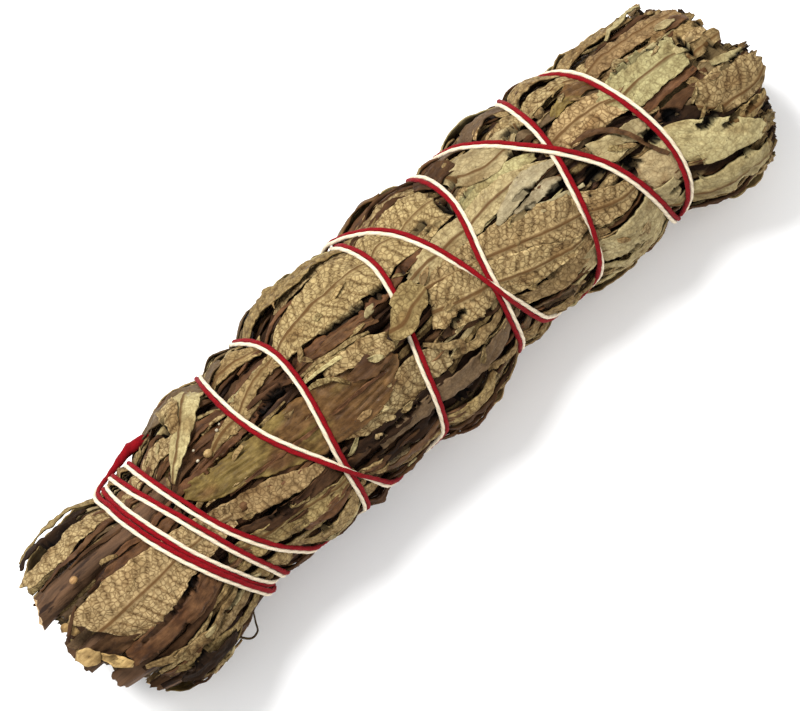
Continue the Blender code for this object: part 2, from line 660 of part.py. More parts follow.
def main():
    for old in list(bpy.data.objects):
        bpy.data.objects.remove(old)
    rng = random.Random(7)
    made = [sprig_leaves(sprig, rng) for sprig in range(SPRIGS)]
    for sprig in range(SPRIGS):
        made.append(ring_solid(f"stem_{sprig + 1}", stem_rings(sprig, 0.0), "bark"))
    middle_sprig(rng)
    points, faces = [], []
    for piece in made:
        first = len(points)
        points += [v.co.copy() for v in piece.data.vertices]
        faces += [[first + i for i in p.vertices] for p in piece.data.polygons]
    threads(BVHTree.FromPolygons(points, faces))


main()
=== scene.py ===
"""The looks of the smudge stick: detailed leaves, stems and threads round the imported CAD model.

Lengths here are millimetres and become metres where the meshes are made. The bundle lies along X
with its cut stems at -X. Round it, an angle of 0 is +Y, 90 the top, 180 -Y and 270 the underside.
"""

import math

import bpy
import numpy as np
from mathutils import Matrix, Vector


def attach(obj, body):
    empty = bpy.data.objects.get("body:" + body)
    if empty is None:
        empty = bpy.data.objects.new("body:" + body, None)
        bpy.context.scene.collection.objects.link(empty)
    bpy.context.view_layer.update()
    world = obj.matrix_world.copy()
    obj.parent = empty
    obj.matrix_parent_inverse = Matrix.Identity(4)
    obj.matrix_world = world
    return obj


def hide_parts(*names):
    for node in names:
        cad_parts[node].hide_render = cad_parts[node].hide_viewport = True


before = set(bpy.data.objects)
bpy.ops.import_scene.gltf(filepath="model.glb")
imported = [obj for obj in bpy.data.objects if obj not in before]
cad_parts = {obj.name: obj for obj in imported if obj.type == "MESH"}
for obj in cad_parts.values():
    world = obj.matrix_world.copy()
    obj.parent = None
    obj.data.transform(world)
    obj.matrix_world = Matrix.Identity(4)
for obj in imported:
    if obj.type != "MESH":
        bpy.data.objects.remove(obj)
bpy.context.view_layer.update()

MM = 0.001

# Bundle, as in the part: its radius and the sideways place of its middle, at distances along it
RADIUS = (
    (-82, 15.4), (-68, 17.3), (-53, 15.6), (-42, 17.0), (-25, 17.4), (-12, 18.1), (2, 18.2), (12, 17.3),
    (21, 16.3), (32, 16.8), (42, 16.7), (52, 15.7), (62, 16.2), (72, 15.0), (82, 11.0),
)
MIDDLE = (
    (-82, -2.4), (-60, -2.8), (-45, 0.0), (-25, 0.2), (-12, 1.4), (0, 0.6), (12, 2.2), (26, 2.0),
    (40, 1.3), (50, 0.6), (60, -2.0), (80, -2.6),
)
AXIS_HEIGHT, MEAN_RADIUS, TOP_RADIUS = 19.0, 17.0, 18.0
CUT_END, TIP_END, FLOOR_GAP = -80.0, 79.3, 0.025

# The skin swells between the threads, and is pressed flat underneath
BULGE, BULGE_REACH, LOFT = 0.7, 5.0, 1.5
PRESSED_SKIN, PRESSED_DEPTH, PRESSED_NEAR, PRESSED_FAR = 0.9, 1.9, 1.2, 4.5
SETTLED_FROM, SETTLED_TO = 0.86, 0.97

# The angle round the bundle from which the camera looks lies this far past the top. Points seen at its
# edges are kept on the side that shows.
LOOK_ANGLE, SEEN_LIFT, SEEN_LIMIT = 12.6, 0.5, 0.985

# Sprigs: how many, the first one's angle, and how their borders sway; and the core of each
SPRIGS, FIRST_ANGLE, SECTOR = 9, 30.0, 40.0
BORDER_SWAY, BORDER_WAVE, BORDER_PHASE = 3.0, 17.0, 2.1
CORE_START, CORE_END, CORE_INNER = -71.0, 69.0, 6.0
CORE_DEPTH, PLEAT, SKIN_REACH = 2.1, 0.7, 20.0
CORE_STEP, CORE_COLUMNS, CORE_SPAN = 1.1, 33, 8

# Threads: their radius and half the distance between them, their steps and plies, how they pull tight
# and cross, the knot and how many steps the cream one is shorter. The route is given as half turns and
# places along the bundle, and the twists say where along it the pair turns over.
STRAND, PAIR = 0.41, 0.40
THREAD_STEP, PLY_TURN, SIDES = 0.42, 2.6, 8
PLY_DEPTH, TAUT_REACH = 0.06, 7.0
CROSSING_APART, CROSSING_REACH, CROSSING_RISE = 40, 2.6, 1.9
KNOT, KNOT_PLACES, KNOT_SHARE, SHORTER = (0.5, 0.75, 1.0, 1.3, 0.7), (24, 19, 13, 6, 0), 0.9, 27
TURN_LENGTH, START_SIDE = 112.0, 180.0 + LOOK_ANGLE
ROUTE = (
    (0, -45.4), (1, -56.9), (1.75, -38.5), (2, -26.6), (2.32, -22.8), (2.68, -18.7), (3, -23.5),
    (3.74, -18.5), (4, -8.5), (4.34, -2.0), (4.68, 4.3), (5, 1.2), (5.57, 13.0), (6, 14.0), (6.41, 18.0),
    (6.68, 22.0), (7, 19.5), (7.6, 20.0), (7.8, 22.5), (8, 29.9), (8.4, 38.0), (8.64, 41.0), (9, 40.0),
    (10, 50.9), (10.42, 57.0), (10.75, 54.0), (11, 48.5), (11.6, 51.0), (12, 49.6), (12.46, 46.0),
    (12.7, 36.0), (13, 25.4), (13.6, 26.0), (13.8, 25.5), (14, 21.8), (14.42, 17.0), (14.7, 11.5),
    (15, 0.8), (15.57, -13.0), (15.76, -13.0), (16, -18.0), (16.28, -22.5), (16.6, -30.5), (17, -32.0),
    (17.5, -31.4), (18, -35.6), (18.5, -47.0), (19, -51.8), (20, -43.4), (21, -55.2), (22, -47.2),
    (22.8, -58.6), (22.95, -58.7), (23, -56.5), (23, -45.2),
)
TWISTS = (
    (0, 1), (1.2, 1), (1.5, 0), (5.0, 0), (5.3, 1), (8.15, 1), (8.45, 0), (9.0, 0), (9.3, 1), (11.0, 1),
    (11.3, 0), (13.0, 0), (13.3, 1), (14.25, 1), (14.6, 0), (16.1, 0), (16.5, 1), (17.0, 1), (17.3, 0),
    (23, 0),
)

# Tables over the skin: steps along and round it, the farthest distance to a thread that counts, and
# the step along the threads
X_STEP, A_STEP, FAR, ROUTE_STEP = 0.5, 1.5, 12.0, 0.6

# Distances between the points of a leaf's grid, in each group of leaves, and how many columns of its
# outer side one column of its inner side stands for
LEAF_STEP, HIDDEN_STEP, FILLER_STEP, STRIP_STEP, END_STEP, SCRAP_STEP = 0.35, 0.7, 0.8, 0.6, 0.95, 0.65
INNER_SPAN = 4

# Leaves: thickness, smallest half width, how far the two ends dip, teeth and waves of the edges, jagged
# ends, and swells (height, length, stretch across)
LEAF_THICK, NARROW_THICK, THINNEST, END_DIPS = 0.34, 0.5, 0.12, (0.9, 0.5)
TOOTH, TOOTH_LENGTHS, EDGE_WAVE, EDGE_LENGTH = 0.16, (1.6, 2.3), 0.22, 5.0
JAG, JAG_LENGTH, JAG_SHARE = 0.55, 2.2, 0.12
SWELLS = ((0.22, 7.0, 1.0), (0.14, 2.6, 1.7))
CURLS, EDGE_CURL = (-0.3, 0.55), 0.25

# Veins, the net between them, and the midrib
VEIN_SPACING, VEIN_SLANT, VEIN_WIDTH, VEIN_DEPTH = 2.2, 0.5, 0.26, 0.12
CELL_LONG, CELL_WIDE, CELL_LINE, CELL_EDGE, CELL_SWELL = 1.05, 0.85, 0.23, 0.6, 0.05
RIB_WIDTH, RIB_HEIGHT, RIB_SIDE, RIB_GROOVE = 0.38, 0.28, 0.7, 0.12

# How the threads press leaves down, how deep the holes are, and the heights of a leaf over a thread
PRESS_WIDE, PRESS_NARROW, PRESS_DEPTH, PRESS_SHARE = 3.2, 1.5, 0.75, 0.72
HOLE_DEPTH, HOLE_TORN, HOLE_TORN_LENGTH = 2.2, 0.28, 1.6
OVER_THREAD = (2.1, 2.5)

# The kinds of surface: colour, how strongly the net shows, roughness, and the colour of the far end
# where it is another one
KINDS = {
    "net": ((0.350, 0.268, 0.134), 1.0, 0.82),
    "tan": ((0.275, 0.198, 0.092), 0.8, 0.82),
    "pale": ((0.375, 0.318, 0.168), 0.45, 0.75),
    "green": ((0.335, 0.295, 0.152), 0.55, 0.7),
    "silver": ((0.335, 0.290, 0.180), 0.3, 0.65),
    "olive": ((0.160, 0.115, 0.036), 0.1, 0.5, (0.105, 0.056, 0.020)),
    "rust": ((0.104, 0.050, 0.021), 0.12, 0.6),
    "grey": ((0.125, 0.084, 0.045), 0.35, 0.7),
    "brown": ((0.068, 0.033, 0.014), 0.1, 0.8),
    "dark": ((0.022, 0.011, 0.005), 0.0, 0.95),
    "wood": ((0.430, 0.290, 0.130), 0.05, 0.8),
}
RIB_COLOUR, VEIN_TINT = (0.078, 0.036, 0.010), (0.30, 0.22, 0.14)
RED, DARK_RED = (0.25, 0.002, 0.006), (0.12, 0.001, 0.003)
CREAM, DARK_CREAM = (0.80, 0.70, 0.52), (0.58, 0.48, 0.34)

# Leaves that the photograph shows: sprig, kind, height over the skin, knots (x, y as seen from above,
# half width) along the leaf, and for some of them the midrib's place across (-1 to 1, or None) and how
# far the first end slants
SEEN = (
    (0, "tan", 0.9, ((-77.4, 17.4, 1.0), (-72, 17.6, 1.3), (-66, 17.0, 1.3), (-58, 15.8, 1.2),
        (-48, 16.0, 1.0))),
    (1, "net", 0.3, ((-78.6, 12.2, 1.5), (-76, 12.5, 1.9), (-70, 12.4, 2.1), (-60, 12.8, 2.1),
        (-50, 13.2, 1.9), (-41, 13.2, 1.5)), None, 0.8),
    (1, "rust", 0.2, ((-77, 10.2, 0.3), (-68, 10.3, 0.4), (-58, 10.8, 0.4), (-50, 10.6, 0.3))),
    (0, "dark", 0.7, ((-77.6, 15.6, 0.9), (-70, 15.4, 0.8), (-62, 15.2, 0.5))),
    (0, "tan", 3.4, ((-60, 14.9, 1.0), (-57, 15.1, 1.5), (-54, 15.3, 1.5), (-51.4, 15.4, 0.9))),
    (2, "net", 0.9, ((-73.6, -3.0, 4.9), (-71, -3.1, 5.3), (-66, -3.0, 5.4), (-60, -2.9, 5.3),
        (-56, -2.6, 4.6), (-50, -2.7, 3.6), (-43, -3.4, 2.2)), 0.0, 0.75),
    (2, "brown", -0.3, ((-77, -6.0, 1.6), (-71, -6.6, 2.4), (-60, -7.0, 2.2), (-50, -7.5, 1.0))),
    (3, "rust", 0.5, ((-73, -10.6, 1.7), (-68, -10.6, 2.0), (-60, -10.2, 2.0), (-55, -9.4, 2.2),
        (-51.5, -8.6, 1.6))),
    (2, "wood", 0.2, ((-80.0, -3.4, 0.8), (-78.4, -4.8, 1.6), (-76.6, -6.4, 1.0))),
    (2, "wood", 0.1, ((-76.6, -6.2, 0.5), (-74.8, -9.0, 0.9), (-73.2, -11.8, 0.5))),
    (1, "wood", -0.6, ((-78.6, 2.4, 0.7), (-77.4, 1.2, 0.9), (-77.0, -0.6, 0.5))),
    (1, "brown", 0.6, ((-79.0, -0.6, 0.25), (-76.6, 1.4, 0.35), (-73.8, 3.2, 0.25))),
    (2, "rust", 0.1, ((-67, 4.2, 0.7), (-62, 3.4, 1.2), (-55, 3.4, 1.2), (-49, 3.8, 0.7))),
    (2, "tan", 0.9, ((-66, 5.9, 0.25), (-64, 5.4, 0.4), (-62.6, 4.8, 0.3))),
    (3, "tan", 0.3, ((-72, -13.6, 0.4), (-66, -15.4, 0.9), (-58, -15.6, 1.0), (-49, -13.4, 0.7))),
    (3, "tan", -0.2, ((-70, -15.0, 0.6), (-62, -16.9, 1.3), (-54, -16.6, 1.2), (-46, -15.0, 0.8))),
    (4, "tan", 0.2, ((-70, -17.2, 0.6), (-62, -18.4, 1.1), (-54, -18.2, 1.1), (-44, -17.0, 0.8))),
    (4, "dark", 1.2, ((-69, -18.9, 1.2), (-63, -19.3, 1.8), (-57, -19.0, 1.4))),
    (0, "grey", 0.9, ((-46, 17.6, 1.2), (-39, 18.0, 2.4), (-32, 18.0, 2.0), (-27, 18.2, 1.0))),
    (1, "pale", 1.7, ((-34.0, 18.3, 2.6), (-37.5, 15.4, 2.6), (-41.0, 12.0, 1.8), (-47.0, 7.8, 0.5)), 0.1),
    (0, "net", 1.9, ((-39.6, 18.6, 2.2), (-39.8, 15.6, 1.8), (-41.0, 12.6, 0.4))),
    (1, "rust", 0.1, ((-50, 11.0, 0.5), (-43, 11.6, 0.8), (-30, 12.2, 0.8), (-20, 13.9, 0.4))),
    (1, "rust", -0.2, ((-50, 6.4, 0.6), (-42, 6.2, 0.9), (-34, 7.0, 1.1), (-24, 8.6, 0.6))),
    (1, "tan", 0.8, ((-39, 7.2, 0.5), (-34, 8.6, 1.2), (-27, 10.6, 1.7), (-20, 12.6, 1.0)), 0.0),
    (1, "brown", -0.5, ((-47, 9.2, 1.0), (-38, 9.4, 1.6), (-28, 9.0, 1.2), (-18, 8.6, 0.8))),
    (2, "olive", 0.7, ((-47, 5.4, 0.8), (-43, 3.4, 2.4), (-37, 2.2, 3.0), (-30, 0.6, 4.2),
        (-24, -0.8, 5.2), (-18, -1.8, 5.2), (-12, -2.2, 4.4), (-7, -1.8, 3.2), (-3.4, -0.6, 1.2))),
    (2, "net", 1.9, ((-19, 4.3, 0.3), (-16, 3.5, 0.45), (-13.6, 1.9, 0.4), (-12.5, 0.2, 0.2))),
    (2, "rust", 1.25, ((-41, -0.5, 0.2), (-30, -1.1, 0.35), (-18, -1.9, 0.3), (-6, -2.6, 0.3))),
    (1, "rust", 1.1, ((-19, 8.4, 0.3), (-12, 7.4, 0.55), (-5, 6.0, 0.55), (-1.5, 5.0, 0.3))),
    (1, "tan", 1.3, ((-20, 7.1, 0.2), (-12, 6.1, 0.35), (-4, 4.5, 0.25))),
    (2, "pale", 1.4, ((-19, 5.7, 0.2), (-13, 4.8, 0.3), (-6, 3.5, 0.35), (-3, 2.4, 0.25))),
    (1, "brown", 1.1, ((-29, 8.9, 0.3), (-23, 8.1, 0.45), (-17, 6.9, 0.25))),
    (2, "rust", 1.5, ((-12.5, 0.6, 0.6), (-9, 0.2, 1.5), (-5.4, 0.0, 1.7), (-3.4, -0.2, 0.8))),
    (1, "net", 0.9, ((-22, 12.2, 1.0), (-18, 13.2, 2.4), (-12, 13.9, 3.9), (-4, 14.1, 5.0), (4, 14.2, 5.3),
        (12, 14.2, 5.3), (17, 14.1, 5.1), (19.6, 14.0, 4.6)), -0.05, -0.6),
    (0, "tan", 1.0, ((-24, 19.0, 0.8), (-18, 19.9, 2.4), (-10, 20.3, 2.8), (-2, 19.9, 1.8),
        (6, 19.6, 0.8))),
    (0, "net", 0.2, ((-14, 18.6, 1.0), (-4, 19.2, 1.6), (8, 19.2, 1.8), (17, 18.9, 1.0))),
    (0, "tan", 0.3, ((-31, 17.4, 1.8), (-26, 16.8, 2.6), (-20, 16.2, 1.8)), 0.2),
    (1, "rust", 0.6, ((-19, 7.6, 0.9), (-11, 7.0, 1.4), (-2, 6.4, 0.9))),
    (1, "net", 0.9, ((-18.5, 6.1, 0.3), (-12, 5.6, 0.7), (-5, 5.2, 0.5))),
    (1, "rust", 0.2, ((-20, 9.0, 0.6), (-8, 8.4, 0.9), (4, 8.2, 0.9), (18, 9.0, 0.5))),
    (2, "net", 1.5, ((-15, 3.9, 0.5), (-10, 3.2, 1.5), (-5.5, 2.0, 2.2), (-2, 0.8, 1.6))),
    (2, "net", 0.3, ((-21, -6.0, 0.8), (-15, -7.2, 1.6), (-8, -7.6, 2.8), (-2, -7.0, 3.2),
        (4, -7.2, 2.0))),
    (2, "tan", 0.5, ((-47, -1.4, 1.2), (-42, -3.0, 1.8), (-35, -4.8, 2.0), (-29, -6.8, 1.4),
        (-24, -8.0, 0.4))),
    (3, "brown", 0.4, ((-46, -6.4, 0.8), (-38, -8.8, 1.3), (-30, -9.2, 1.0), (-24, -10.4, 1.1))),
    (3, "tan", 0.2, ((-49, -9.6, 2.2), (-42, -10.8, 2.4), (-35, -11.0, 2.5), (-28, -12.2, 1.8),
        (-22, -13.2, 0.8)), -0.3),
    (3, "rust", 0.5, ((-37, -13.4, 0.7), (-30, -13.8, 1.3), (-24, -14.0, 0.9))),
    (3, "tan", -0.1, ((-48, -15.4, 1.4), (-42, -15.9, 1.7), (-36, -16.2, 1.0))),
    (4, "tan", 0.4, ((-38, -16.3, 0.8), (-31, -16.8, 1.8), (-25, -16.6, 1.8), (-20, -17.2, 0.8))),
    (4, "brown", 0.9, ((-27, -18.6, 0.8), (-23, -18.9, 1.2), (-19, -18.7, 0.6))),
    (3, "dark", 0.1, ((-22, -9.0, 0.8), (-15, -10.2, 1.5), (-6, -11.0, 1.4), (2, -10.4, 0.8))),
    (3, "grey", 0.5, ((-16, -11.8, 0.6), (-8, -12.2, 1.5), (2, -12.2, 1.8), (11, -12.0, 1.7),
        (18, -11.0, 0.8))),
    (3, "net", 0.3, ((-23, -14.4, 0.8), (-20, -14.2, 1.2), (-17, -14.4, 0.7))),
    (3, "dark", -0.1, ((-20, -14.2, 0.8), (-12, -14.6, 1.3), (-2, -14.8, 1.5), (6, -14.4, 0.9))),
    (4, "rust", 0.2, ((-18, -16.2, 0.5), (-10, -16.6, 0.9), (-2, -16.8, 0.9), (4, -17.0, 0.5))),
    (4, "tan", 0.5, ((-10, -17.8, 0.6), (-3, -17.6, 1.5), (3, -17.0, 2.0), (8, -15.8, 1.2))),
    (2, "tan", 2.3, ((-0.6, 2.6, 2.1), (1.2, 2.4, 2.9), (4.4, 3.4, 2.6), (6.4, 3.7, 2.4),
        (7.9, 4.0, 2.1)), 0.3, -0.5),
    (1, "green", 0.5, ((7, 6.6, 0.9), (10, 7.0, 2.0), (18, 7.0, 2.6), (26, 7.4, 2.4), (34, 7.0, 1.6),
        (39, 6.0, 0.4)), 0.1),
    (1, "green", 0.2, ((21, 10.2, 1.6), (26, 10.4, 1.8), (33, 9.6, 1.6), (38, 8.6, 0.8))),
    (1, "pale", 0.8, ((24, 17.4, 1.4), (26.5, 15.4, 3.4), (30, 14.4, 4.4), (33, 14.2, 3.6),
        (36, 14.6, 2.4), (39, 15.2, 1.2)), 0.5),
    (1, "net", 0.3, ((33, 16.4, 1.2), (39, 15.4, 1.9), (46, 15.2, 1.8), (53, 14.6, 1.4), (57, 13.8, 0.6))),
    (0, "brown", 1.0, ((18.6, 18.6, 1.6), (22.5, 17.5, 2.3), (27, 15.7, 0.5))),
    (0, "grey", 0.6, ((24, 19.3, 0.9), (30, 19.6, 1.8), (37, 19.2, 1.6), (46, 18.4, 1.0))),
    (0, "tan", 0.9, ((38, 18.0, 1.0), (44, 18.4, 2.2), (50, 17.6, 2.0), (58, 16.2, 1.0))),
    (2, "net", 1.3, ((6.4, 0.0, 2.8), (9, -0.8, 3.7), (14, -2.2, 4.2), (20, -4.2, 4.0), (26, -6.0, 3.0),
        (32, -7.8, 1.6), (36, -8.8, 0.4)), 0.1, -0.2),
    (2, "net", 0.9, ((8.0, 3.6, 1.2), (13, 2.4, 2.8), (20, 0.6, 4.0), (27, -1.6, 4.6), (33, -3.6, 4.4),
        (40, -6.0, 3.5), (46, -7.8, 1.9), (49.5, -8.8, 0.5)), 0.05),
    (2, "tan", 0.3, ((17, -5.4, 1.2), (25, -7.8, 1.9), (33, -9.5, 1.7), (39, -10.6, 0.7))),
    (3, "tan", 0.2, ((17, -9.8, 1.1), (25, -11.0, 1.7), (33, -11.4, 1.5), (41, -12.2, 0.8))),
    (2, "silver", 1.5, ((25, 3.4, 0.4), (30, 4.9, 1.3), (35, 5.8, 1.4), (40, 5.2, 0.5))),
    (2, "silver", 1.0, ((27, 2.5, 0.4), (33, 2.6, 1.1), (37, 2.2, 1.2), (39.6, 1.2, 0.4))),
    (2, "silver", 0.6, ((25, 1.9, 0.3), (31, 1.0, 0.6), (37, -0.6, 0.5), (41, -1.6, 0.4))),
    (3, "tan", 0.9, ((1.4, -3.6, 0.3), (3.6, -5.6, 0.5), (6.4, -7.8, 0.6), (5.6, -9.2, 0.4))),
    (2, "brown", 0.2, ((2, -3.6, 0.5), (8, -5.0, 0.9), (14, -6.8, 0.9), (19, -8.4, 0.5))),
    (3, "tan", 0.4, ((4, -8.6, 0.5), (10, -9.0, 0.9), (17, -8.8, 0.6))),
    (4, "tan", 0.1, ((7, -15.0, 0.6), (14, -15.0, 1.1), (22, -14.8, 1.1), (30, -15.2, 0.5))),
    (3, "pale", 0.9, ((30, -11.8, 1.6), (36, -13.2, 2.6), (43, -13.4, 3.4), (49, -13.2, 3.2),
        (54, -12.2, 1.2))),
    (4, "green", 0.4, ((34, -16.2, 0.9), (41, -16.6, 1.5), (50, -15.8, 1.2))),
    (1, "olive", 0.5, ((45, 11.2, 0.6), (49, 12.1, 1.7), (55, 11.7, 1.4))),
    (1, "net", 0.7, ((39, 7.9, 1.0), (43, 7.6, 2.5), (49, 7.2, 3.3), (55, 6.2, 3.1),
        (61, 4.8, 1.2)), -0.1),
    (1, "green", 1.2, ((53, 6.8, 2.4), (56, 6.2, 3.8), (61, 5.7, 3.9), (66, 5.2, 3.5),
        (69, 4.8, 3.3)), 0.1),
    (1, "tan", 0.5, ((47, 15.1, 0.7), (53, 13.7, 2.2), (60, 12.7, 2.4), (66, 12.0, 2.4), (70, 11.4, 2.4),
        (73.4, 10.9, 1.4)), 0.0),
    (0, "tan", 1.1, ((48, 17.6, 0.8), (54, 16.6, 1.9), (60, 15.8, 1.7), (67, 14.8, 0.9))),
    (0, "green", 1.3, ((61, 14.8, 0.4), (65, 15.0, 1.2), (67.6, 15.4, 0.9), (69.8, 15.4, 0.3))),
    (2, "pale", 0.4, ((45.6, 2.4, 0.9), (48, 0.2, 2.4), (50, -0.8, 1.8), (51.4, -2.0, 0.6)), None, 0.5),
    (2, "pale", 0.2, ((50.5, 0.8, 0.9), (53.5, -0.4, 2.0), (56.5, -0.6, 1.3))),
    (2, "rust", 1.6, ((43.6, 5.2, 0.35), (47, 4.7, 0.45), (50, 2.9, 0.5), (52.5, -0.4, 0.5),
        (54.0, -4.0, 0.45), (55.6, -7.6, 0.4))),
    (3, "pale", 0.4, ((48.6, -9.6, 1.4), (50.4, -9.4, 3.2), (53, -8.9, 4.2), (56, -9.4, 3.4))),
    (2, "pale", 1.0, ((56, -8.2, 4.2), (59, -8.6, 4.9), (62, -10.4, 4.2), (66, -12.6, 3.2),
        (69, -14.2, 2.4), (71.5, -15.2, 1.4)), None, 0.3),
    (4, "pale", 1.4, ((49, -14.9, 0.8), (54, -16.0, 2.0), (60, -17.2, 2.8), (65, -18.0, 2.8),
        (69.4, -18.7, 2.1)), 0.1),
    (2, "dark", -0.1, ((57, -1.4, 1.0), (61, -3.8, 2.0), (65, -8.3, 1.9), (70, -11.6, 1.2))),
    (2, "net", 0.7, ((64.6, -3.6, 1.4), (67, -4.9, 3.2), (71, -5.6, 3.6), (75.4, -6.2, 3.4),
        (78.6, -6.0, 2.0)), 0.6, 0.3),
    (2, "pale", 0.9, ((71.4, -0.4, 0.4), (74, -1.5, 0.6), (77.4, -2.4, 0.4))),
    (1, "tan", 0.2, ((68, 3.4, 1.0), (72, 3.2, 1.7), (76.4, 2.8, 1.1)), 0.3, 0.4),
    (1, "tan", 0.1, ((69, 7.0, 0.9), (72, 6.8, 1.6), (75.6, 6.4, 0.9)), None, -0.4),
    (1, "rust", 0.3, ((68, 9.6, 0.6), (71, 9.4, 1.2), (74.2, 8.8, 0.7))),
    (1, "net", 0.5, ((70, 5.2, 0.5), (72.6, 5.0, 0.9), (75, 4.6, 0.5)), None, 0.8),
    (3, "tan", 0.3, ((65, -14.4, 1.0), (69, -15.6, 1.4), (72.4, -15.2, 0.7)), None, 0.6),
    (3, "tan", 0.2, ((66, -11.0, 1.0), (71, -11.2, 1.5), (75.6, -11.4, 1.0)), 0.2),
    (4, "tan", 0.1, ((64, -19.4, 0.7), (68, -19.2, 1.3), (70.8, -18.8, 0.8))),
    (2, "rust", 0.3, ((56, 1.2, 0.5), (62, 1.1, 0.8), (69, 0.7, 0.5))),
    (2, "brown", 0.1, ((57, -1.6, 0.6), (63, -1.6, 1.1), (69, -2.2, 0.7))),
)

# Gaps and holes among the leaves, where the leaves sink and are painted nearly black as shade: x, y as seen
# from above, and half sizes along and across
GAPS = (
    (-70.5, 4.3, 2.2, 0.9), (-67, 15.1, 6.0, 0.5), (-62, -9.0, 6.5, 0.5), (-56, -7.7, 1.2, 1.0),
    (-66, -12.9, 4.5, 0.4), (-60, -17.2, 6.5, 0.4), (-53, -15.0, 3.5, 0.5), (-42.3, 15.8, 1.4, 0.9),
    (-46.5, 16.0, 2.5, 0.4), (-33, 13.6, 2.0, 0.7), (-36, -8.6, 2.2, 0.6), (-42, -13.9, 6.0, 0.5),
    (-32.5, -16.2, 1.2, 0.5), (-25, 7.6, 3.5, 0.5), (-35, 5.4, 6.0, 0.35), (-18, 20.6, 3.5, 0.5),
    (-6, 9.2, 5.0, 0.45), (2, 8.9, 1.8, 0.8), (7.5, 8.5, 1.0, 0.5), (14.6, 12.3, 1.6, 0.65),
    (15.6, 10.8, 0.7, 0.3), (17.6, 10.6, 0.5, 0.3), (20.3, 12.3, 0.9, 2.1), (24.6, 11.4, 1.4, 0.5),
    (23.5, 14.4, 2.0, 0.6), (37.6, 14.5, 1.9, 0.8), (35.8, 11.6, 1.2, 0.6), (45, 17.0, 4.5, 0.45),
    (45.5, 13.1, 2.6, 0.6), (32, 4.3, 2.2, 0.4), (38, 1.2, 2.6, 0.7), (30, 2.0, 2.6, 0.35),
    (43.5, -1.6, 2.4, 1.6), (49.5, -4.6, 1.7, 1.3), (55.2, -3.1, 1.3, 1.7), (8, -4.2, 4.0, 0.5),
    (14, -6.6, 3.0, 0.35), (26, -9.2, 2.4, 0.6), (36, -8.7, 1.8, 0.4), (31, -14.6, 3.0, 0.6),
    (37.5, -15.0, 3.6, 0.35), (24, -13.8, 3.5, 0.5), (-2, -15.2, 4.5, 1.1), (-14, -15.4, 3.0, 0.6),
    (-11, -10.8, 6.0, 0.4), (4, -14.6, 2.5, 0.5), (54, -13.6, 3.2, 0.5), (62, 8.7, 4.5, 0.5),
    (66, 8.0, 1.6, 0.6), (60, -2.4, 1.6, 1.2), (64.6, -7.8, 2.6, 0.9), (67.5, -10.6, 2.0, 0.6),
    (70.2, 5.0, 0.5, 2.8), (73.5, 2.0, 0.8, 0.6), (74.5, 6.5, 0.6, 0.9), (72.0, -11.0, 1.4, 0.5),
    (67.5, -16.2, 1.8, 0.5), (75.0, -2.6, 2.6, 0.3),
)

# Large leaves of the sprigs that the photograph doesn't show: where they start, and their kinds in turn
HIDDEN_STARTS = (-79, -70, -56, -50, -44, -34, -27, -20, -12, -4, 3, 10, 18, 26, 33, 40, 47, 52, 56)
HIDDEN_KINDS = ("net", "tan", "net", "green", "tan", "grey", "net", "olive", "tan", "pale", "brown")

# Smaller leaves of every sprig: how many, their kinds in turn, and ranges of their first ends, lengths
# and half widths. The layers at the cut end and at the tips are given as how many, where they start, and
# their kinds.
FILLERS, FILLER_KINDS = 34, ("brown", "tan", "rust", "net", "brown", "tan", "grey", "net")
FILLER_STARTS, FILLER_LENGTHS, FILLER_WIDTHS, FILLER_LIMIT = (-76, 58), (14, 38), (0.3, 1.1), 72
STRIPS, STRIP_KINDS = 26, ("net", "rust", "tan", "brown", "pale", "rust")
STRIP_STARTS, STRIP_LENGTHS, STRIP_WIDTHS, STRIP_LIMIT = (-72, 58), (7, 24), (0.22, 0.6), 71
END_LAYERS = ((15, -64, ("tan", "brown", "grey", "net")), (30, 58, ("tan", "rust", "net", "tan")))
CRUMBS, CRUMB_KINDS = 30, ("tan", "brown", "net", "rust", "tan", "dark")
CRUMB_STARTS, CRUMB_LENGTHS, CRUMB_WIDTHS = (65, 74), (1.6, 5.0), (0.5, 1.6)
FLAKES, FLAKE_KINDS = 30, ("tan", "net", "tan", "tan", "net", "pale")
DULL_FLAKE_KINDS = ("tan", "net", "rust", "tan", "brown", "pale")
FLAKE_STARTS, FLAKE_LENGTHS, FLAKE_WIDTHS, FLAKE_DEEPEST = (-78, 70), (1.4, 4.5), (0.3, 0.9), -2.5
MIDDLE_LEAVES, MIDDLE_ENDS, MIDDLE_KINDS = 16, ((-66, -77), (60, 78)), ("tan", "brown", "net", "rust")

# Buds and drops of resin: x, y as seen, height over the skin, size, colour; and a curled stalk, by its
# knots (x, y as seen)
BEAD_SPRIG, TENDRIL_SPRIG, TENDRIL_SIZE, TENDRIL_TINT = 1, 4, 0.26, (0.06, 0.04, 0.02)
RESIN = (0.36, 0.33, 0.26)
BEADS = (
    (-39.0, 7.4, 0.9, 0.75, (0.34, 0.24, 0.11)), (-41.2, 7.7, 0.6, 0.28, RESIN),
    (-35.2, 9.4, 0.9, 0.3, RESIN), (-34.2, 9.9, 0.9, 0.2, RESIN), (-40.6, 9.6, 0.5, 0.22, RESIN),
    (-71.2, 6.9, 0.15, 0.7, (0.30, 0.18, 0.08)),
)
TENDRIL = ((-57.4, -18.6), (-57.0, -20.6), (-55.6, -21.9), (-54.2, -21.6), (-53.4, -20.2), (-52.0, -17.8))

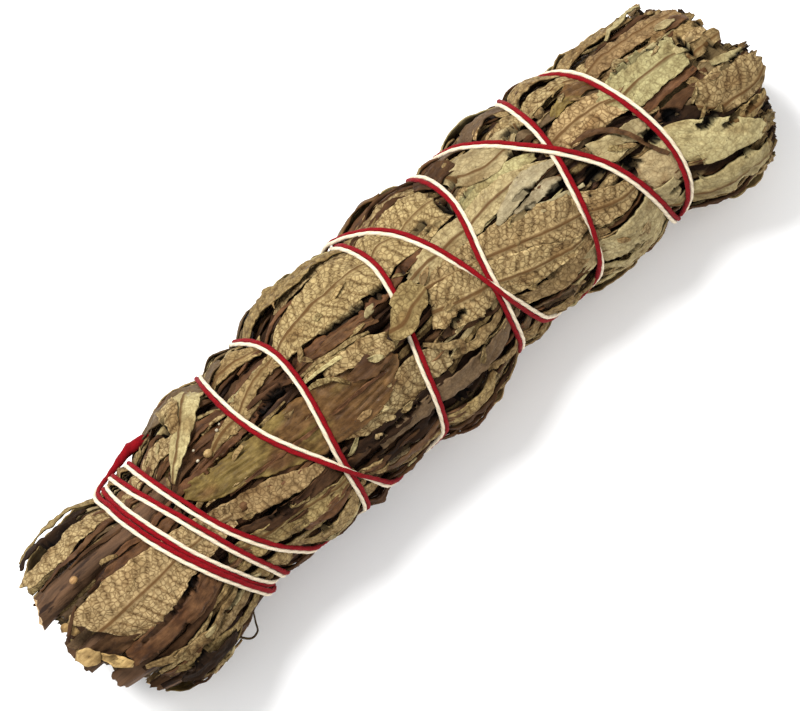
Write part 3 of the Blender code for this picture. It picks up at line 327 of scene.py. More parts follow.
# Stems: angle and depth of the cut end under the skin, radius, and how far along the stem ends
STEMS = (
    (27, 5.5, 1.7, 20), (66, 1.9, 2.5, 34), (112, 4.2, 2.6, 30), (139, 2.2, 1.9, 26), (188, 3.4, 1.5, 20),
    (232, 5.0, 2.2, 30), (268, 4.8, 2.3, 34), (312, 4.6, 1.8, 22), (352, 4.0, 2.1, 28),
)
STEM_STARTS = (-75, -80, -79, -77, -74, -77, -76, -75, -78)
STEM_SINKS_TO, STEM_SINK_FROM, STEM_SINK_TO = 5.6, -56.0, -34.0
STEM_TAPER, CUT_SLANT, CUT_REACH, STEM_LOFT = 0.35, 0.5, 4.0, 0.9
STEM_STEP, MIDDLE_STEP, STEM_SIDES = 1.0, 1.2, 24
BUDS, BUD_HEIGHT, BUD_WIDTH, BUD_PLACES = 3, 0.45, 0.9, (4, 30)
MIDDLE_STEM = (2.9, -80.0, 40.0)

# Camera and light. Their places are in metres, but the camera's aim is in millimetres. A lamp has a name,
# its place across, up and towards the camera as the camera sees it, its width and its power.
CAMERA_DISTANCE, LENS, SENSOR, PICTURE_TURN = 1.0, 254.0, 36.0, 42.0
CAMERA_AIM = (-2.8, -2.1, 18.5)
WORLD_LIGHT, FLOOR_HALF = 0.9, 3.0
LAMPS = (("key", -0.36, 0.32, 0.65, 0.35, 9.0), ("fill", 0.5, 0.1, 0.7, 0.6, 1.5))


def along(knots, x):
    """The value at x of a smooth line through the knots."""
    return curve(*np.array(knots, float).T, x)


def curve(xs, ys, x):
    """The value at x of a smooth line that has the values ys at xs."""
    x = np.clip(np.asarray(x, float), xs[0], xs[-1])
    i = np.clip(np.searchsorted(xs, x, side="right") - 1, 0, len(xs) - 2)
    slopes = np.gradient(ys, xs)
    step = xs[i + 1] - xs[i]
    t = (x - xs[i]) / step
    rise = (2 * t**3 - 3 * t**2 + 1) * ys[i] + (3 * t**2 - 2 * t**3) * ys[i + 1]
    return rise + step * ((t**3 - 2 * t**2 + t) * slopes[i] + (t**3 - t**2) * slopes[i + 1])


def eased(value, start, end):
    """0 before start, 1 after end, and a smooth rise between them."""
    t = np.clip((value - start) / (end - start), 0, 1)
    return t * t * (3 - 2 * t)


def run_of(a, b):
    """Distance from the first point of a line to each of its points."""
    return np.concatenate([[0.0], np.cumsum(np.hypot(np.diff(a), np.diff(b)))])


def bell(value, width):
    """1 where value is 0, falling smoothly to 0 over about twice the width."""
    return np.exp(-((value / width) ** 2))


# The skin: tables of its radius and of the distance to the threads, over the whole surface

XS = np.arange(-86.0, 86.1, X_STEP)
AS = np.arange(0.0, 360.0, A_STEP)


def looked_up(table, x, angle):
    """Values between the points of a table over the surface."""
    i = np.clip((np.asarray(x, float) - XS[0]) / X_STEP, 0, len(XS) - 1.001)
    j = np.mod(np.asarray(angle, float), 360.0) / A_STEP
    i0, j0 = i.astype(int), j.astype(int)
    fi, fj = i - i0, j - j0
    j0 %= len(AS)
    j1 = (j0 + 1) % len(AS)
    near = table[i0, j0] * (1 - fj) + table[i0, j1] * fj
    beyond = table[i0 + 1, j0] * (1 - fj) + table[i0 + 1, j1] * fj
    return near * (1 - fi) + beyond * fi


def route_points(step):
    """Points along the binding, in the order in which it was wound: x, angle and the pair's twist."""
    turns, places = np.array(ROUTE, float).T
    run = run_of(places, turns * TURN_LENGTH / 2)
    at = np.arange(0, run[-1], step)
    turn = curve(run, turns, at)
    return curve(run, places, at), START_SIDE - 180.0 * turn, np.interp(turn, *np.transpose(TWISTS))


def distance_table():
    """Distance over the surface from each place of the table to the nearest thread."""
    table = np.full((len(XS), len(AS)), FAR)
    reach = RADIUS[0][1] + BULGE
    wide_x, wide_a = int(FAR / X_STEP), int(math.degrees(FAR / reach) / A_STEP)
    rows, columns = np.arange(-wide_x, wide_x + 1), np.arange(-wide_a, wide_a + 1)
    for x, angle in zip(*route_points(ROUTE_STEP)[:2]):
        i0, j0 = round((x - XS[0]) / X_STEP), round(angle % 360.0 / A_STEP)
        i, j = np.clip(i0 + rows, 0, len(XS) - 1), (j0 + columns) % len(AS)
        dx = XS[i] - x
        turn = (AS[j] - angle + 180.0) % 360.0 - 180.0
        gap = np.hypot(dx[:, None], np.radians(turn)[None, :] * reach)
        window = np.ix_(i, j)
        table[window] = np.minimum(table[window], gap)
    return table


def skin_table(distance):
    """Radius of the bundle's outer leaf layer: swollen between the threads, pressed flat underneath."""
    radius = along(RADIUS, XS)[:, None] + LOFT + BULGE * (1 - bell(distance, BULGE_REACH))
    down = np.clip(-np.sin(np.radians(AS)), 0.05, 1)[None, :]
    groove = PRESSED_DEPTH * (1 - eased(distance, PRESSED_NEAR, PRESSED_FAR))
    pressed = AXIS_HEIGHT - PRESSED_SKIN - groove
    settled = eased(down, SETTLED_FROM, SETTLED_TO)
    radius = radius + (np.maximum(radius, pressed / down) - radius) * settled
    return np.minimum(radius, pressed / down)


DISTANCE = distance_table()
SKIN = skin_table(DISTANCE)


def skin(x, angle):
    return looked_up(SKIN, x, angle)


def thread_distance(x, angle):
    return looked_up(DISTANCE, x, angle)


def in_space(x, angle, reach):
    """Points in space from places on the surface and distances from the bundle's middle."""
    turn = np.radians(angle)
    y = along(MIDDLE, x) + reach * np.cos(turn)
    return np.stack([x, y, AXIS_HEIGHT + reach * np.sin(turn)], axis=-1)


def seen_angle(x, y):
    """Angle round the bundle at which a point seen at a distance y from the axis lies."""
    share = (np.asarray(y) - along(MIDDLE, x)) / (skin(x, 90.0) + SEEN_LIFT)
    return LOOK_ANGLE + np.degrees(np.arccos(np.clip(share, -SEEN_LIMIT, SEEN_LIMIT)))


def border(number, x):
    """Angle of the border after a sprig, which sways a little along the bundle."""
    base = FIRST_ANGLE + SECTOR * (number + 0.5)
    return base + BORDER_SWAY * np.sin(np.asarray(x, float) / BORDER_WAVE + BORDER_PHASE * (number % SPRIGS))


def ripples(rng, a, b, size, count=6):
    """A smooth random field over two coordinates, about -1 to 1, with bumps of about that size."""
    total = 0.0
    for _ in range(count):
        turn, phase = rng.uniform(0, 2 * math.pi, 2)
        rate = 2 * math.pi / size * rng.uniform(0.55, 1.5)
        total = total + np.sin(rate * (a * math.cos(turn) + b * math.sin(turn)) + phase)
    return total / math.sqrt(count * 1.6)


def net_lines(rng, a, b, cell_a, cell_b):
    """Strength, 0 to 1, of the lines of an irregular net, and how far each cell swells."""
    u, v = a / cell_a, b / cell_b
    iu, iv = np.floor(u).astype(int), np.floor(v).astype(int)
    iu0, iv0 = iu.min() - 1, iv.min() - 1
    spots = rng.uniform(0.12, 0.88, (iu.max() - iu0 + 2, iv.max() - iv0 + 2, 2))
    first = np.full(u.shape, 9.0)
    second = np.full(u.shape, 9.0)
    for di in (-1, 0, 1):
        for dj in (-1, 0, 1):
            spot = spots[iu + di - iu0, iv + dj - iv0]
            gap = np.hypot((iu + di + spot[..., 0] - u) * cell_a, (iv + dj + spot[..., 1] - v) * cell_b)
            second = np.minimum(second, np.maximum(first, gap))
            first = np.minimum(first, gap)
    return bell(second - first, CELL_LINE), eased(second - first, 0.0, CELL_EDGE)


def linked(name, data):
    """A new object of the scene."""
    made = bpy.data.objects.new(name, data)
    bpy.context.scene.collection.objects.link(made)
    return made


class Shell:
    """Gathers the points and faces of one piece, and what its material needs to know at each point."""

    def __init__(self):
        self.points, self.faces, self.tints, self.marks, self.slots = [], [], [], [], []
        self.count = 0

    def add(self, points, faces, tint, marks, slot=0):
        """points (n, 3), faces as a list of index arrays, tint (n, 3), marks (n, 3 or 4).

        The marks are the roughness and how far a point belongs to the net (on a thread, its painted shade
        between the plies), the midrib and the mesh.
        """
        self.points.append(points)
        for group in faces:
            self.faces.append(group + self.count)
            self.slots.append(np.full(len(group), slot))
        self.tints.append(np.broadcast_to(tint, (len(points), 3)))
        marks = np.asarray(marks, float)
        if marks.shape[-1] == 3:
            marks = np.concatenate([marks, 0 * marks[..., :1]], axis=-1)
        self.marks.append(np.broadcast_to(marks, (len(points), 4)))
        self.count += len(points)

    def made(self, name, materials):
        """The piece as an object of the scene, on the one body and nowhere under the floor."""
        points = np.concatenate(self.points) * MM
        points[:, 2] = np.maximum(points[:, 2], FLOOR_GAP * MM)
        sizes = np.concatenate([np.full(len(f), f.shape[1]) for f in self.faces])
        corners = np.concatenate([f.ravel() for f in self.faces])
        mesh = bpy.data.meshes.new(name)
        mesh.vertices.add(len(points))
        mesh.vertices.foreach_set("co", points.astype(np.float32).ravel())
        mesh.loops.add(len(corners))
        mesh.loops.foreach_set("vertex_index", corners.astype(np.int32))
        mesh.polygons.add(len(sizes))
        starts = np.concatenate([[0], np.cumsum(sizes)[:-1]])
        mesh.polygons.foreach_set("loop_start", starts.astype(np.int32))
        mesh.polygons.foreach_set("material_index", np.concatenate(self.slots).astype(np.int32))
        mesh.update(calc_edges=True)
        mesh.polygons.foreach_set("use_smooth", np.ones(len(sizes), bool))
        colour = mesh.color_attributes.new("tint", "FLOAT_COLOR", "POINT")
        marks = np.concatenate(self.marks)
        tint = np.concatenate([np.concatenate(self.tints), marks[:, :1]], axis=1)
        colour.data.foreach_set("color", tint.astype(np.float32).ravel())
        for k, mark in ((1, "net"), (2, "rib"), (3, "meshed")):
            layer = mesh.attributes.new(mark, "FLOAT", "POINT")
            layer.data.foreach_set("value", marks[:, k].astype(np.float32))
        for material in materials:
            mesh.materials.append(material)
        piece = linked(name, mesh)
        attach(piece, "root")
        return piece


def closed_sheet(outer, inner_columns):
    """Faces of a closed sheet: a fine outer grid and an inner grid that has fewer columns."""
    rows, columns = outer.shape[:2]
    few = len(inner_columns)
    i, j = np.arange(rows - 1)[:, None], np.arange(columns - 1)[None, :]
    a = i * columns + j
    top = np.stack([a, a + columns, a + columns + 1, a + 1], axis=-1).reshape(-1, 4)
    base = rows * columns
    j = np.arange(few - 1)[None, :]
    b = base + i * few + j
    under = np.stack([b, b + 1, b + few + 1, b + few], axis=-1).reshape(-1, 4)
    walls = []
    r = np.arange(rows - 1)
    for edge, under_edge, flip in ((0, 0, False), (columns - 1, few - 1, True)):
        t, u = r * columns + edge, base + r * few + under_edge
        wall = np.stack([t, u, u + few, t + columns], axis=-1)
        walls.append(wall[:, ::-1] if flip else wall)
    ends = []
    span = inner_columns[1] - inner_columns[0]
    for row, flip in ((0, False), (rows - 1, True)):
        for k in range(few - 1):
            rim = [row * columns + inner_columns[k] + m for m in range(span + 1)]
            end = np.array([[*rim, base + row * few + k + 1, base + row * few + k]])
            ends.append(end[:, ::-1] if flip else end)
    return [top, under, *walls, *ends]


def holes(rng, x, angle):
    """How far, 0 to 1, a place of a leaf lies in one of the gaps; their outlines are torn."""
    deepest = np.zeros(x.shape)
    torn = 1 + HOLE_TORN * ripples(rng, x, np.radians(angle) * MEAN_RADIUS, HOLE_TORN_LENGTH)
    for middle, aside, long, wide in GAPS:
        if x.min() - long > middle or x.max() + long < middle:
            continue
        centre = float(seen_angle(middle, aside))
        apart = np.radians(np.mod(angle - centre + 180.0, 360.0) - 180.0) * TOP_RADIUS
        out = np.hypot((x - middle) / long, apart / wide) * torn
        deepest = np.maximum(deepest, 1 - eased(out, 0.75, 1.15))
    return deepest


HEIGHT = np.zeros((len(XS), len(AS)))


def note_height(x, angle, reach):
    """Keeps the outermost leaf surface in a table, for the threads to lie on."""
    i = np.clip(np.rint((x - XS[0]) / X_STEP).astype(int), 0, len(XS) - 1)
    j = np.rint(np.mod(angle, 360.0) / A_STEP).astype(int) % len(AS)
    np.maximum.at(HEIGHT, (i.ravel(), j.ravel()), reach.ravel())


def add_sheet(shell, outer, inner, picked, tint, underside_shade, marks):
    """Adds a closed sheet. Its inner side has the picked columns, a share of the tint as painted shade under
    the sheet and along its edges, and no marks.
    """
    shell.add(
        np.concatenate([outer.reshape(-1, 3), inner.reshape(-1, 3)]),
        closed_sheet(outer, picked),
        np.concatenate([tint.reshape(-1, 3), (underside_shade * tint[:, picked]).reshape(-1, 3)]),
        np.concatenate([marks.reshape(-1, 4), marks[:, picked].reshape(-1, 4) * (1, 0, 0, 0)]),
    )


def leaf(shell, rng, kind, lift, knots, rib=None, step=LEAF_STEP, thick=LEAF_THICK, bend=None, dips=END_DIPS,
         over_thread=False, slant=0.0, depth_shade=0.8):
    """One dry leaf. Knots are (x, angle, half width); rib is the place of its midrib across it.

    bend is how far its edges curl up, and dips how far its two ends go down. slant shears its first
    end, and the last argument is how strongly painted shade darkens it where it lies deep.
    """
    colour, net_share, rough, *far_colour = KINDS[kind]

    # The middle line, at even steps along it
    places, angles, widths = np.array(knots, float).T
    reach = skin(places, angles).mean()
    arc = np.radians(np.unwrap(angles, period=360.0)) * reach
    run = run_of(places, arc)
    rows = max(6, int(run[-1] / step) + 1)
    a = np.linspace(0, run[-1], rows)
    xc, qc = curve(run, places, a), curve(run, arc, a)
    wide = np.maximum(curve(run, widths, a), THINNEST)
    tx, tq = np.gradient(xc, a), np.gradient(qc, a)
    size = np.hypot(tx, tq)
    nx, nq = -tq / size, tx / size

    # The outline: a grid across the middle line, with toothed edges and jagged ends
    columns = INNER_SPAN * max(1, round(2 * wide.max() / step / INNER_SPAN)) + 1
    t = np.linspace(-1, 1, columns)[None, :]
    share = (a / run[-1])[:, None]
    teeth = np.ones((rows, columns))
    for side in (-1, 1):
        beat = a / rng.uniform(*TOOTH_LENGTHS) + rng.uniform(0, 1)
        wave = EDGE_WAVE * ripples(rng, a, 0 * a, EDGE_LENGTH)
        tooth = TOOTH * np.abs(np.sin(math.pi * beat)) + wave - TOOTH / 2
        teeth = np.where(t * side > 0, 1 + (tooth / np.maximum(wide, 0.8))[:, None] * np.abs(t) ** 3, teeth)
    across = t * wide[:, None] * teeth
    jag = [JAG * ripples(rng, across, 0 * across, JAG_LENGTH) * min(1.0, wide[k] / 1.5) for k in (0, -1)]
    shift = jag[0] * (1 - eased(share, 0, JAG_SHARE)) + jag[1] * eased(share, 1 - JAG_SHARE, 1)
    shift = shift + slant * across * (1 - eased(share, 0.05, 0.4))
    x = xc[:, None] + across * nx[:, None] + shift * (tx / size)[:, None]
    q = qc[:, None] + across * nq[:, None] + shift * (tq / size)[:, None]
    angle = np.degrees(q / reach)
    down = a[:, None] + 0 * across

    # Swells and curled edges
    height = 0.0
    for high, long, stretch in SWELLS:
        height = height + high * ripples(rng, down, across * stretch, long)
    curl = rng.uniform(*CURLS) if bend is None else bend
    height = height + curl * np.abs(t) ** 2.5 * np.minimum(wide[:, None], 3.0) / 2.5
    height = height + EDGE_CURL * np.abs(t) ** 4 * ripples(rng, down, 0 * down, EDGE_LENGTH)

    # Net, side veins and midrib, or the grain of a smooth kind
    from_rib = across - (0 if rib is None else rib) * wide[:, None]
    relief, net, ribs, meshed = (np.zeros(across.shape) for _ in range(4))
    if net_share > 0.2:
        lines, swell = net_lines(rng, x, q, CELL_LONG, CELL_WIDE)
        along_vein = down + shift - VEIN_SLANT * np.abs(from_rib) + 0.5 * ripples(rng, down, across, 6.0)
        vein = bell((np.mod(along_vein / VEIN_SPACING, 1.0) - 0.5) * VEIN_SPACING, VEIN_WIDTH)
        net = net_share * np.clip(np.maximum(0.35 * lines, 1.1 * vein), 0, 1)
        relief = net_share * (CELL_SWELL * swell - VEIN_DEPTH * vein)
        meshed = meshed + net_share
    if rib is not None:
        beside = np.abs(from_rib) - RIB_SIDE
        ribs = bell(from_rib, RIB_WIDTH) * (1 - 0.3 * share)
        relief = relief + RIB_HEIGHT * ribs - RIB_GROOVE * bell(beside, 0.3)
        net = np.maximum(net * (1 - bell(from_rib, 0.5)), 0.45 * bell(beside + 0.04, 0.2))
        meshed = meshed * (1 - bell(from_rib, 0.5))
    elif net_share < 0.2:
        grain = ripples(rng, down * 0.12, across, 1.3)
        relief = relief + 0.18 * grain + 0.10 * ripples(rng, x * 0.5, q, 1.8)
        net = np.maximum(net, 0.4 * eased(-grain, 0.2, 1.0))

    # Height over the skin: dipping ends, pressed down by the threads, and sunk where there is a hole
    root = dips[0] * (1 - eased(share, 0, 0.2)) + dips[1] * eased(share, 0.85, 1)
    gap = thread_distance(x, angle)
    near, under = (0 if over_thread else bell(gap, width) for width in (PRESS_WIDE, PRESS_NARROW))
    low = np.minimum(lift - root, 0) + np.maximum(lift - root, 0) * (1 - PRESS_SHARE * near)
    hole = holes(rng, x, angle)
    height = height * (1 - 0.5 * near) + low + relief - PRESS_DEPTH * under - HOLE_DEPTH * hole
    reach_out = skin(x, angle) + height
    outer = in_space(x, angle, reach_out)
    picked = np.arange(0, columns, INNER_SPAN)
    inner = in_space(x[:, picked], angle[:, picked], (reach_out - relief - thick)[:, picked])
    if not over_thread:
        note_height(x, angle, reach_out)

    # Colour: patches, a painted highlight along the edges, and painted shade where it lies deep or in a hole
    patch = eased(ripples(rng, down * 0.6, across, 5.5), 0.35, 1.3)[..., None]
    fine = 1 + 0.10 * ripples(rng, down, across, 1.7)[..., None]
    base = np.array(colour) * rng.uniform(0.74, 1.04) * (1 + rng.uniform(-0.035, 0.035, 3))
    if far_colour:
        turned = eased(share + 0.25 * ripples(rng, down * 0.4, across, 6.0), 0.35, 0.6)[..., None]
        base = base * (1 - turned) + np.array(far_colour[0]) * turned
    # Painted highlight: a paler rim along the edges, where light catches the leaf's thickness
    rim = (np.abs(t) ** 12 * (1 - patch[..., 0]))[..., None]
    tint = base * fine * (1 - patch * np.array((0.30, 0.38, 0.45))) * (1 + 0.25 * rim)
    # Painted shade: darker, with less blue, where the leaf lies deep below the skin
    deep = eased(-height, 0.3, 1.9)[..., None]
    tint = tint * (1 - depth_shade * deep * np.array((0.97, 1.03, 1.1)))
    # Painted shade: nearly black in the gaps
    tint = tint * (1 - 0.95 * np.clip(3 * hole, 0, 1)[..., None])
    add_sheet(shell, outer, inner, picked, tint, 0.5, np.stack([rough + 0 * net, net, ribs, meshed], axis=-1))


def node_material(name, build):
    """A new material whose nodes build() makes from its node tree and shader."""
    made = bpy.data.materials.new(name)
    made.use_nodes = True
    tree = made.node_tree
    build(tree, tree.nodes["Principled BSDF"])
    return made


def node(tree, kind, values=(), **settings):
    """A shader node with its settings, and values or links for its inputs."""
    made = tree.nodes.new(kind)
    for key, value in settings.items():
        setattr(made, key, value)
    for key, value in dict(values).items():
        if isinstance(value, bpy.types.NodeSocket):
            tree.links.new(value, made.inputs[key])
        else:
            made.inputs[key].default_value = value
    return made


def attribute(tree, name):
    return node(tree, "ShaderNodeAttribute", attribute_name=name)


def math_node(tree, operation, a, b):
    return node(tree, "ShaderNodeMath", {0: a, 1: b}, operation=operation).outputs[0]


def mixed(tree, blend, factor, a, b):
    """A colour mix; factor, a and b are sockets or values."""
    made = node(tree, "ShaderNodeMix", data_type="RGBA", blend_type=blend)
    for index, value in ((0, factor), (6, a), (7, b)):
        if isinstance(value, bpy.types.NodeSocket):
            tree.links.new(value, made.inputs[index])
        else:
            made.inputs[index].default_value = (*value, 1) if isinstance(value, tuple) else value
    return made.outputs[2]


def noise(tree, scale, detail=4.0, stretch=(1, 1, 1), rough=0.6):
    """Noise over the object, with its features stretched along an axis where stretch is below 1."""
    place = node(tree, "ShaderNodeTexCoord").outputs["Object"]
    spread = node(tree, "ShaderNodeMapping", {"Vector": place, "Scale": stretch})
    values = {"Vector": spread.outputs[0], "Scale": scale, "Detail": detail, "Roughness": rough}
    return node(tree, "ShaderNodeTexNoise", values).outputs[0]


def blend(tree, value, low, high, dark, light, most=1.0):
    """A colour that goes from dark to light, or most of the way, where a value goes from low to high."""
    return mixed(tree, "MIX", ramp(tree, value, low, high, 0.0, most), dark, light)


def ramp(tree, value, low, high, start=0.0, end=1.0):
    """A value taken from low..high to start..end, held at both ends."""
    values = {0: value, 1: low, 2: high, 3: start, 4: end}
    return node(tree, "ShaderNodeMapRange", values).outputs[0]


def bumped(tree, shader, height, strength, distance):
    bump = node(tree, "ShaderNodeBump", {"Height": height, "Strength": strength, "Distance": distance})
    tree.links.new(bump.outputs[0], shader.inputs["Normal"])


def vector_node(tree, operation, a, b):
    return node(tree, "ShaderNodeVectorMath", {0: a, **b}, operation=operation).outputs[0]


def fine_net(tree):
    """The narrow lines of the net on the underside of a leaf, over cells of about a millimetre."""
    place = node(tree, "ShaderNodeTexCoord").outputs["Object"]
    sway = node(tree, "ShaderNodeTexNoise", {"Vector": place, "Scale": 500.0, "Detail": 1.0})
    moved = vector_node(tree, "SUBTRACT", sway.outputs["Color"], {1: (0.5, 0.5, 0.5)})
    moved = vector_node(tree, "SCALE", moved, {"Scale": 0.0008})
    moved = vector_node(tree, "ADD", place, {1: moved})
    cells = {"Vector": moved, "Scale": 1080.0}
    cells = node(tree, "ShaderNodeTexVoronoi", cells, feature="DISTANCE_TO_EDGE")
    return ramp(tree, cells.outputs["Distance"], 0.02, 0.15, 1.0, 0.0)


def finish(tree, shader, colour, rough, specular=None):
    """Links or sets the colour and the roughness, and sets how strongly the surface reflects."""
    tree.links.new(colour, shader.inputs["Base Color"])
    if isinstance(rough, bpy.types.NodeSocket):
        tree.links.new(rough, shader.inputs["Roughness"])
    else:
        shader.inputs["Roughness"].default_value = rough
    if specular is not None:
        shader.inputs["Specular IOR Level"].default_value = specular


def leaf_material(tree, shader):
    """Dry leaf: the tint of each point, which carries its painted shade and edge highlight, darker veins,
    brown midrib, speckles, fine felt and resin that shines.
    """
    tint = attribute(tree, "tint")
    net, rib, mesh = (attribute(tree, name).outputs["Fac"] for name in ("net", "rib", "meshed"))
    mottle = noise(tree, 420.0, 5.0)
    grain = noise(tree, 2600.0, 3.0, (0.35, 1, 1))
    fibres = noise(tree, 800.0, 6.0, (0.10, 1, 1), 0.7)
    plain = math_node(tree, "SUBTRACT", 1.0, ramp(tree, mesh, 0.0, 0.4))
    mottled = blend(tree, mottle, 0.34, 0.66, (0.72, 0.66, 0.58), (1.16, 1.14, 1.10))
    grained = blend(tree, grain, 0.3, 0.7, (0.80, 0.77, 0.72), (1.12, 1.12, 1.12))
    streaks = blend(tree, fibres, 0.34, 0.66, (0.42, 0.36, 0.30), (1.45, 1.48, 1.48))
    colour = mixed(tree, "MULTIPLY", 1.0, tint.outputs["Color"], mottled)
    colour = mixed(tree, "MULTIPLY", 1.0, colour, grained)
    colour = mixed(tree, "MULTIPLY", math_node(tree, "MULTIPLY", plain, 0.8), colour, streaks)
    colour = mixed(tree, "MULTIPLY", ramp(tree, net, 0.15, 0.95, 0.0, 0.85), colour, VEIN_TINT)
    lines = math_node(tree, "MULTIPLY", fine_net(tree), ramp(tree, mesh, 0.0, 1.0))
    colour = mixed(tree, "MULTIPLY", math_node(tree, "MULTIPLY", lines, 0.66), colour, VEIN_TINT)
    colour = blend(tree, rib, 0.2, 0.7, colour, RIB_COLOUR, 0.93)
    specks = ramp(tree, noise(tree, 1500.0, 2.0), 0.68, 0.74)
    colour = mixed(tree, "MIX", math_node(tree, "MULTIPLY", specks, 0.7), colour, (0.03, 0.018, 0.010))
    resin = ramp(tree, noise(tree, 330.0, 3.0), 0.64, 0.70, 0.0, 0.35)
    finish(tree, shader, colour, math_node(tree, "SUBTRACT", tint.outputs["Alpha"], resin), 0.12)
    felt = noise(tree, 5200.0, 2.0)
    height = math_node(tree, "ADD", grain, math_node(tree, "MULTIPLY", felt, 0.5))
    height = math_node(tree, "SUBTRACT", height, lines)
    ridges = math_node(tree, "MULTIPLY", math_node(tree, "MULTIPLY", plain, fibres), 2.0)
    bumped(tree, shader, math_node(tree, "ADD", height, ridges), 0.6, 0.00014)


def bark_material(tree, shader):
    """Thin bark: dark brown with paler fibres along the stem, and small cracks."""
    fibres = noise(tree, 900.0, 6.0, (0.07, 1, 1), 0.7)
    patches = noise(tree, 160.0, 3.0, (0.4, 1, 1))
    cracks = noise(tree, 700.0, 3.0, (0.16, 1, 1), 0.5)
    colour = blend(tree, fibres, 0.32, 0.68, (0.022, 0.011, 0.005), (0.125, 0.064, 0.030))
    colour = blend(tree, patches, 0.45, 0.62, colour, (0.105, 0.052, 0.024), 0.5)
    colour = mixed(tree, "MULTIPLY", ramp(tree, cracks, 0.42, 0.34), colour, (0.22, 0.18, 0.16))
    finish(tree, shader, colour, ramp(tree, patches, 0.3, 0.7, 0.85, 0.65), 0.2)
    height = math_node(tree, "ADD", fibres, math_node(tree, "MULTIPLY", cracks, 0.8))
    bumped(tree, shader, height, 0.8, 0.0003)


def wood_material(tree, shader):
    """Cut wood: pale beige with fibres, torn streaks and a browner middle."""
    fibres = noise(tree, 2400.0, 4.0, (1, 1, 1), 0.7)
    stain = noise(tree, 420.0, 3.0)
    colour = blend(tree, fibres, 0.35, 0.65, (0.30, 0.18, 0.075), (0.60, 0.42, 0.21))
    colour = blend(tree, stain, 0.5, 0.66, colour, (0.22, 0.11, 0.045), 0.7)
    finish(tree, shader, colour, 0.8)
    bumped(tree, shader, fibres, 0.6, 0.00025)


def cotton_material(light, dark, sheen):
    """Cotton: twisted fibres, with painted shade in the grooves between the plies, and a soft sheen."""

    def build(tree, shader):
        ply_groove_shade = attribute(tree, "net").outputs["Fac"]
        fibres = noise(tree, 5200.0, 3.0, (1, 1, 1), 0.6)
        uneven = noise(tree, 260.0, 2.0)
        colour = blend(tree, fibres, 0.3, 0.7, dark, light)
        # The first darkens the grooves between the plies as painted shade; the second is uneven colour
        for value, low, high, most, shade in ((ply_groove_shade, 0.2, 0.9, 0.45, (0.60, 0.55, 0.52)),
                                              (uneven, 0.35, 0.65, 0.35, (0.80, 0.76, 0.74))):
            colour = mixed(tree, "MULTIPLY", ramp(tree, value, low, high, 0.0, most), colour, shade)
        finish(tree, shader, colour, 0.85, 0.1)
        shader.inputs["Sheen Weight"].default_value = sheen
        shader.inputs["Sheen Roughness"].default_value = 0.5
        bumped(tree, shader, fibres, 0.7, 0.00012)

    return build


# The sprigs


def sprig_core(shell, rng, sprig):
    """The inner leaves of a sprig, pressed together: pleats painted near black in their low folds, partly
    dark leaf and partly painted shade, with paler leaf edges along the ridges.
    """
    x = np.arange(CORE_START, CORE_END, CORE_STEP)
    share = np.linspace(0, 1, CORE_COLUMNS)[None, :]
    low, high = border(sprig - 1, x)[:, None] + 0.5, border(sprig, x)[:, None] - 0.5
    angle = low + (high - low) * share
    xs = x[:, None] + 0 * angle
    arc = np.radians(angle) * MEAN_RADIUS
    fold = ripples(rng, xs * 0.10, arc, 1.9, 8) + 0.5 * ripples(rng, xs * 0.25, arc, 0.9)
    height = PLEAT * fold + 0.3 * ripples(rng, xs, arc, 5.0) - CORE_DEPTH
    height = height - 0.6 * bell(thread_distance(xs, angle), PRESS_NARROW) - 0.7 * np.abs(2 * share - 1) ** 6
    ends = np.minimum(eased(xs, CORE_START, CORE_START + 5), 1 - eased(xs, CORE_END - 5, CORE_END))
    hole = holes(np.random.default_rng(sprig), xs, angle)
    height = height - 2.5 * (1 - ends) - HOLE_DEPTH * hole
    outer = in_space(xs, angle, skin(xs, angle) + height)
    picked = np.arange(0, CORE_COLUMNS, CORE_SPAN)
    inner = in_space(xs[:, picked], angle[:, picked], np.full((len(x), len(picked)), CORE_INNER))
    # Colour: near black in the low folds, partly the leaves' own dark brown and partly painted shade; paler
    # leaf edges on the ridges; painted shade, nearly black, in the gaps
    ridge = eased(fold, 0.45, 1.4)[..., None]
    kinds = ripples(rng, xs * 0.15, arc, 3.0)[..., None]
    pale = np.where(kinds > 0.2, (0.24, 0.17, 0.08), (0.12, 0.06, 0.028))
    tint = (np.array((0.032, 0.015, 0.008)) * (1 - ridge) + pale * ridge) * (1 - 0.9 * hole[..., None])
    add_sheet(shell, outer, inner, picked, tint, 0.4, fold[..., None] * 0 + (0.6, 0, 0, 0))


def cut_end(reach, angle):
    """How far the cut end goes at a place in the bundle: less on the side that the camera sees below."""
    below = -reach * math.cos(math.radians(angle - LOOK_ANGLE))
    return CUT_END + 0.42 * max(0.0, below - 3.0) + 0.9 * max(0.0, below - 15.5)


def tip_end(reach, angle):
    """How far the leaf tips go at a place in the bundle: farthest a little below its middle as seen."""
    turn = math.radians(angle - LOOK_ANGLE)
    return TIP_END - 0.032 * (reach * math.cos(turn) + 1.5) ** 2 - 0.008 * (reach * math.sin(turn)) ** 2


def sector(sprig, x, inset):
    """Angles between which a sprig lies at x, less an inset at either side."""
    return float(border(sprig - 1, x)) + inset, float(border(sprig, x)) - inset


def line_of(x, length, angle, turn, widths, low=-math.inf, high=math.inf):
    """Knots of a leaf: widths are (share of its length, half width), and its angles stay in a range."""
    return [(x + length * s, min(max(angle + turn * s, low), high), wide) for s, wide in widths]


